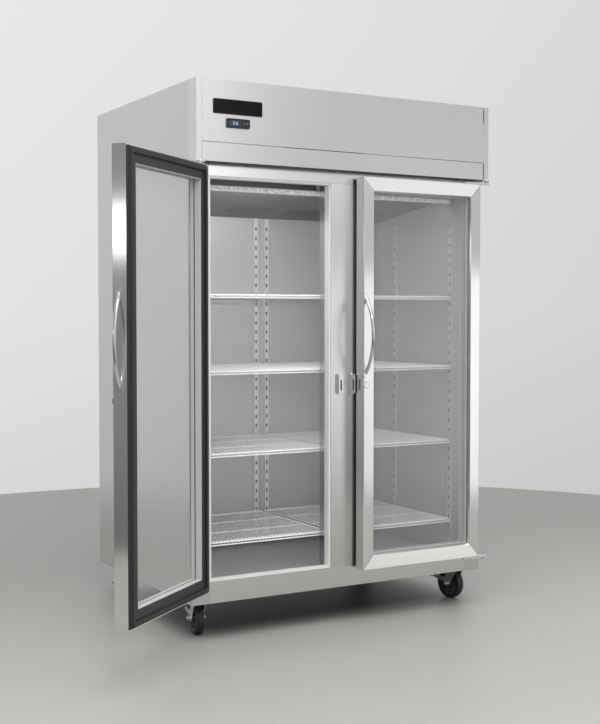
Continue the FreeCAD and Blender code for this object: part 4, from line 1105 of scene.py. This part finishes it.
# ---- floor ----
def shade_mask(tree, split):
    """Mask of the painted shadow under the cabinet, falling softly to zero at its edges."""
    masks = []
    for axis, near, far in (("X", -0.66, 0.66), ("Y", 0.0, 0.94)):
        rise = ramp(tree, split.outputs[axis], 0.0, 1.0, near - 0.02, near + 0.16)
        fall = ramp(tree, split.outputs[axis], 1.0, 0.0, far - 0.16, far + 0.02)
        masks.extend((rise, fall))
    result = masks[0]
    for mask in masks[1:]:
        node = tree.nodes.new("ShaderNodeMath")
        node.operation = "MULTIPLY"
        tree.links.new(result, node.inputs[0])
        tree.links.new(mask, node.inputs[1])
        result = node.outputs[0]
    return result


FLOOR_R = 3.6           # metres
FLOOR_SIDES = 128
FLOOR_MIDDLE = 0.4
FLOOR_NEAR, FLOOR_FAR = -1.6, 1.4
FLOOR_SHADES = ((0.0, (0.455, 0.46, 0.437)), (0.5, (0.385, 0.39, 0.367)), (1.0, (0.265, 0.27, 0.252)))
# colour multiplied into the floor as the painted shadow under the cabinet
UNDER_CABINET_SHADOW = (0.12, 0.12, 0.11, 1)


def add_floor():
    """Pale smooth floor, a little darker to the back, with a painted shadow under the cabinet."""
    made, tree, surface = shader("studio_floor", (0.52, 0.525, 0.50), 0.0, 0.45)
    clouds = noise(tree, 1.2, (1, 1, 1), 4.0)
    coordinates = tree.nodes.new("ShaderNodeTexCoord")
    split = tree.nodes.new("ShaderNodeSeparateXYZ")
    tree.links.new(coordinates.outputs["Object"], split.inputs[0])
    base = graded(tree, ramp(tree, split.outputs["Y"], 0.0, 1.0, FLOOR_NEAR, FLOOR_FAR), FLOOR_SHADES)
    mixed = tree.nodes.new("ShaderNodeMix")
    mixed.data_type = "RGBA"
    mixed.blend_type = "MULTIPLY"
    mixed.inputs[0].default_value = 1.0
    tree.links.new(base, mixed.inputs[6])
    tree.links.new(tinted(tree, clouds, (0.95, 0.95, 0.95), (1.0, 1.0, 1.0)), mixed.inputs[7])
    inside = shade_mask(tree, split)
    shade = tree.nodes.new("ShaderNodeMix")
    shade.data_type = "RGBA"
    shade.blend_type = "MULTIPLY"
    tree.links.new(inside, shade.inputs[0])
    tree.links.new(mixed.outputs[2], shade.inputs[6])
    shade.inputs[7].default_value = UNDER_CABINET_SHADOW
    tree.links.new(shade.outputs[2], surface.inputs["Base Color"])
    mesh = bpy.data.meshes.new("floor")
    angles = [math.tau * i / FLOOR_SIDES for i in range(FLOOR_SIDES)]
    corners = [(FLOOR_R * math.cos(angle), FLOOR_MIDDLE + FLOOR_R * math.sin(angle), 0) for angle in angles]
    mesh.from_pydata(corners, [], [list(range(FLOOR_SIDES))])
    mesh.materials.append(made)
    floor = bpy.data.objects.new("floor", mesh)
    bpy.context.scene.collection.objects.link(floor)


add_camera()
add_world()
add_lights()
materials = make_materials()
dress_cad_nodes(materials)
soften_cad_nodes()
add_doors(materials)
add_shelves(materials)
add_pilaster_tops(materials)
add_light_bars(materials)
add_casters(materials)
add_canopy_fittings(materials)
add_shadow_blocks(materials)
add_fixings(materials)
add_condenser(materials)
add_fan_guard(materials)
add_compressor_details(materials)
add_louvres(materials)
add_floor()
scene = bpy.context.scene
scene.view_settings.view_transform = "Standard"
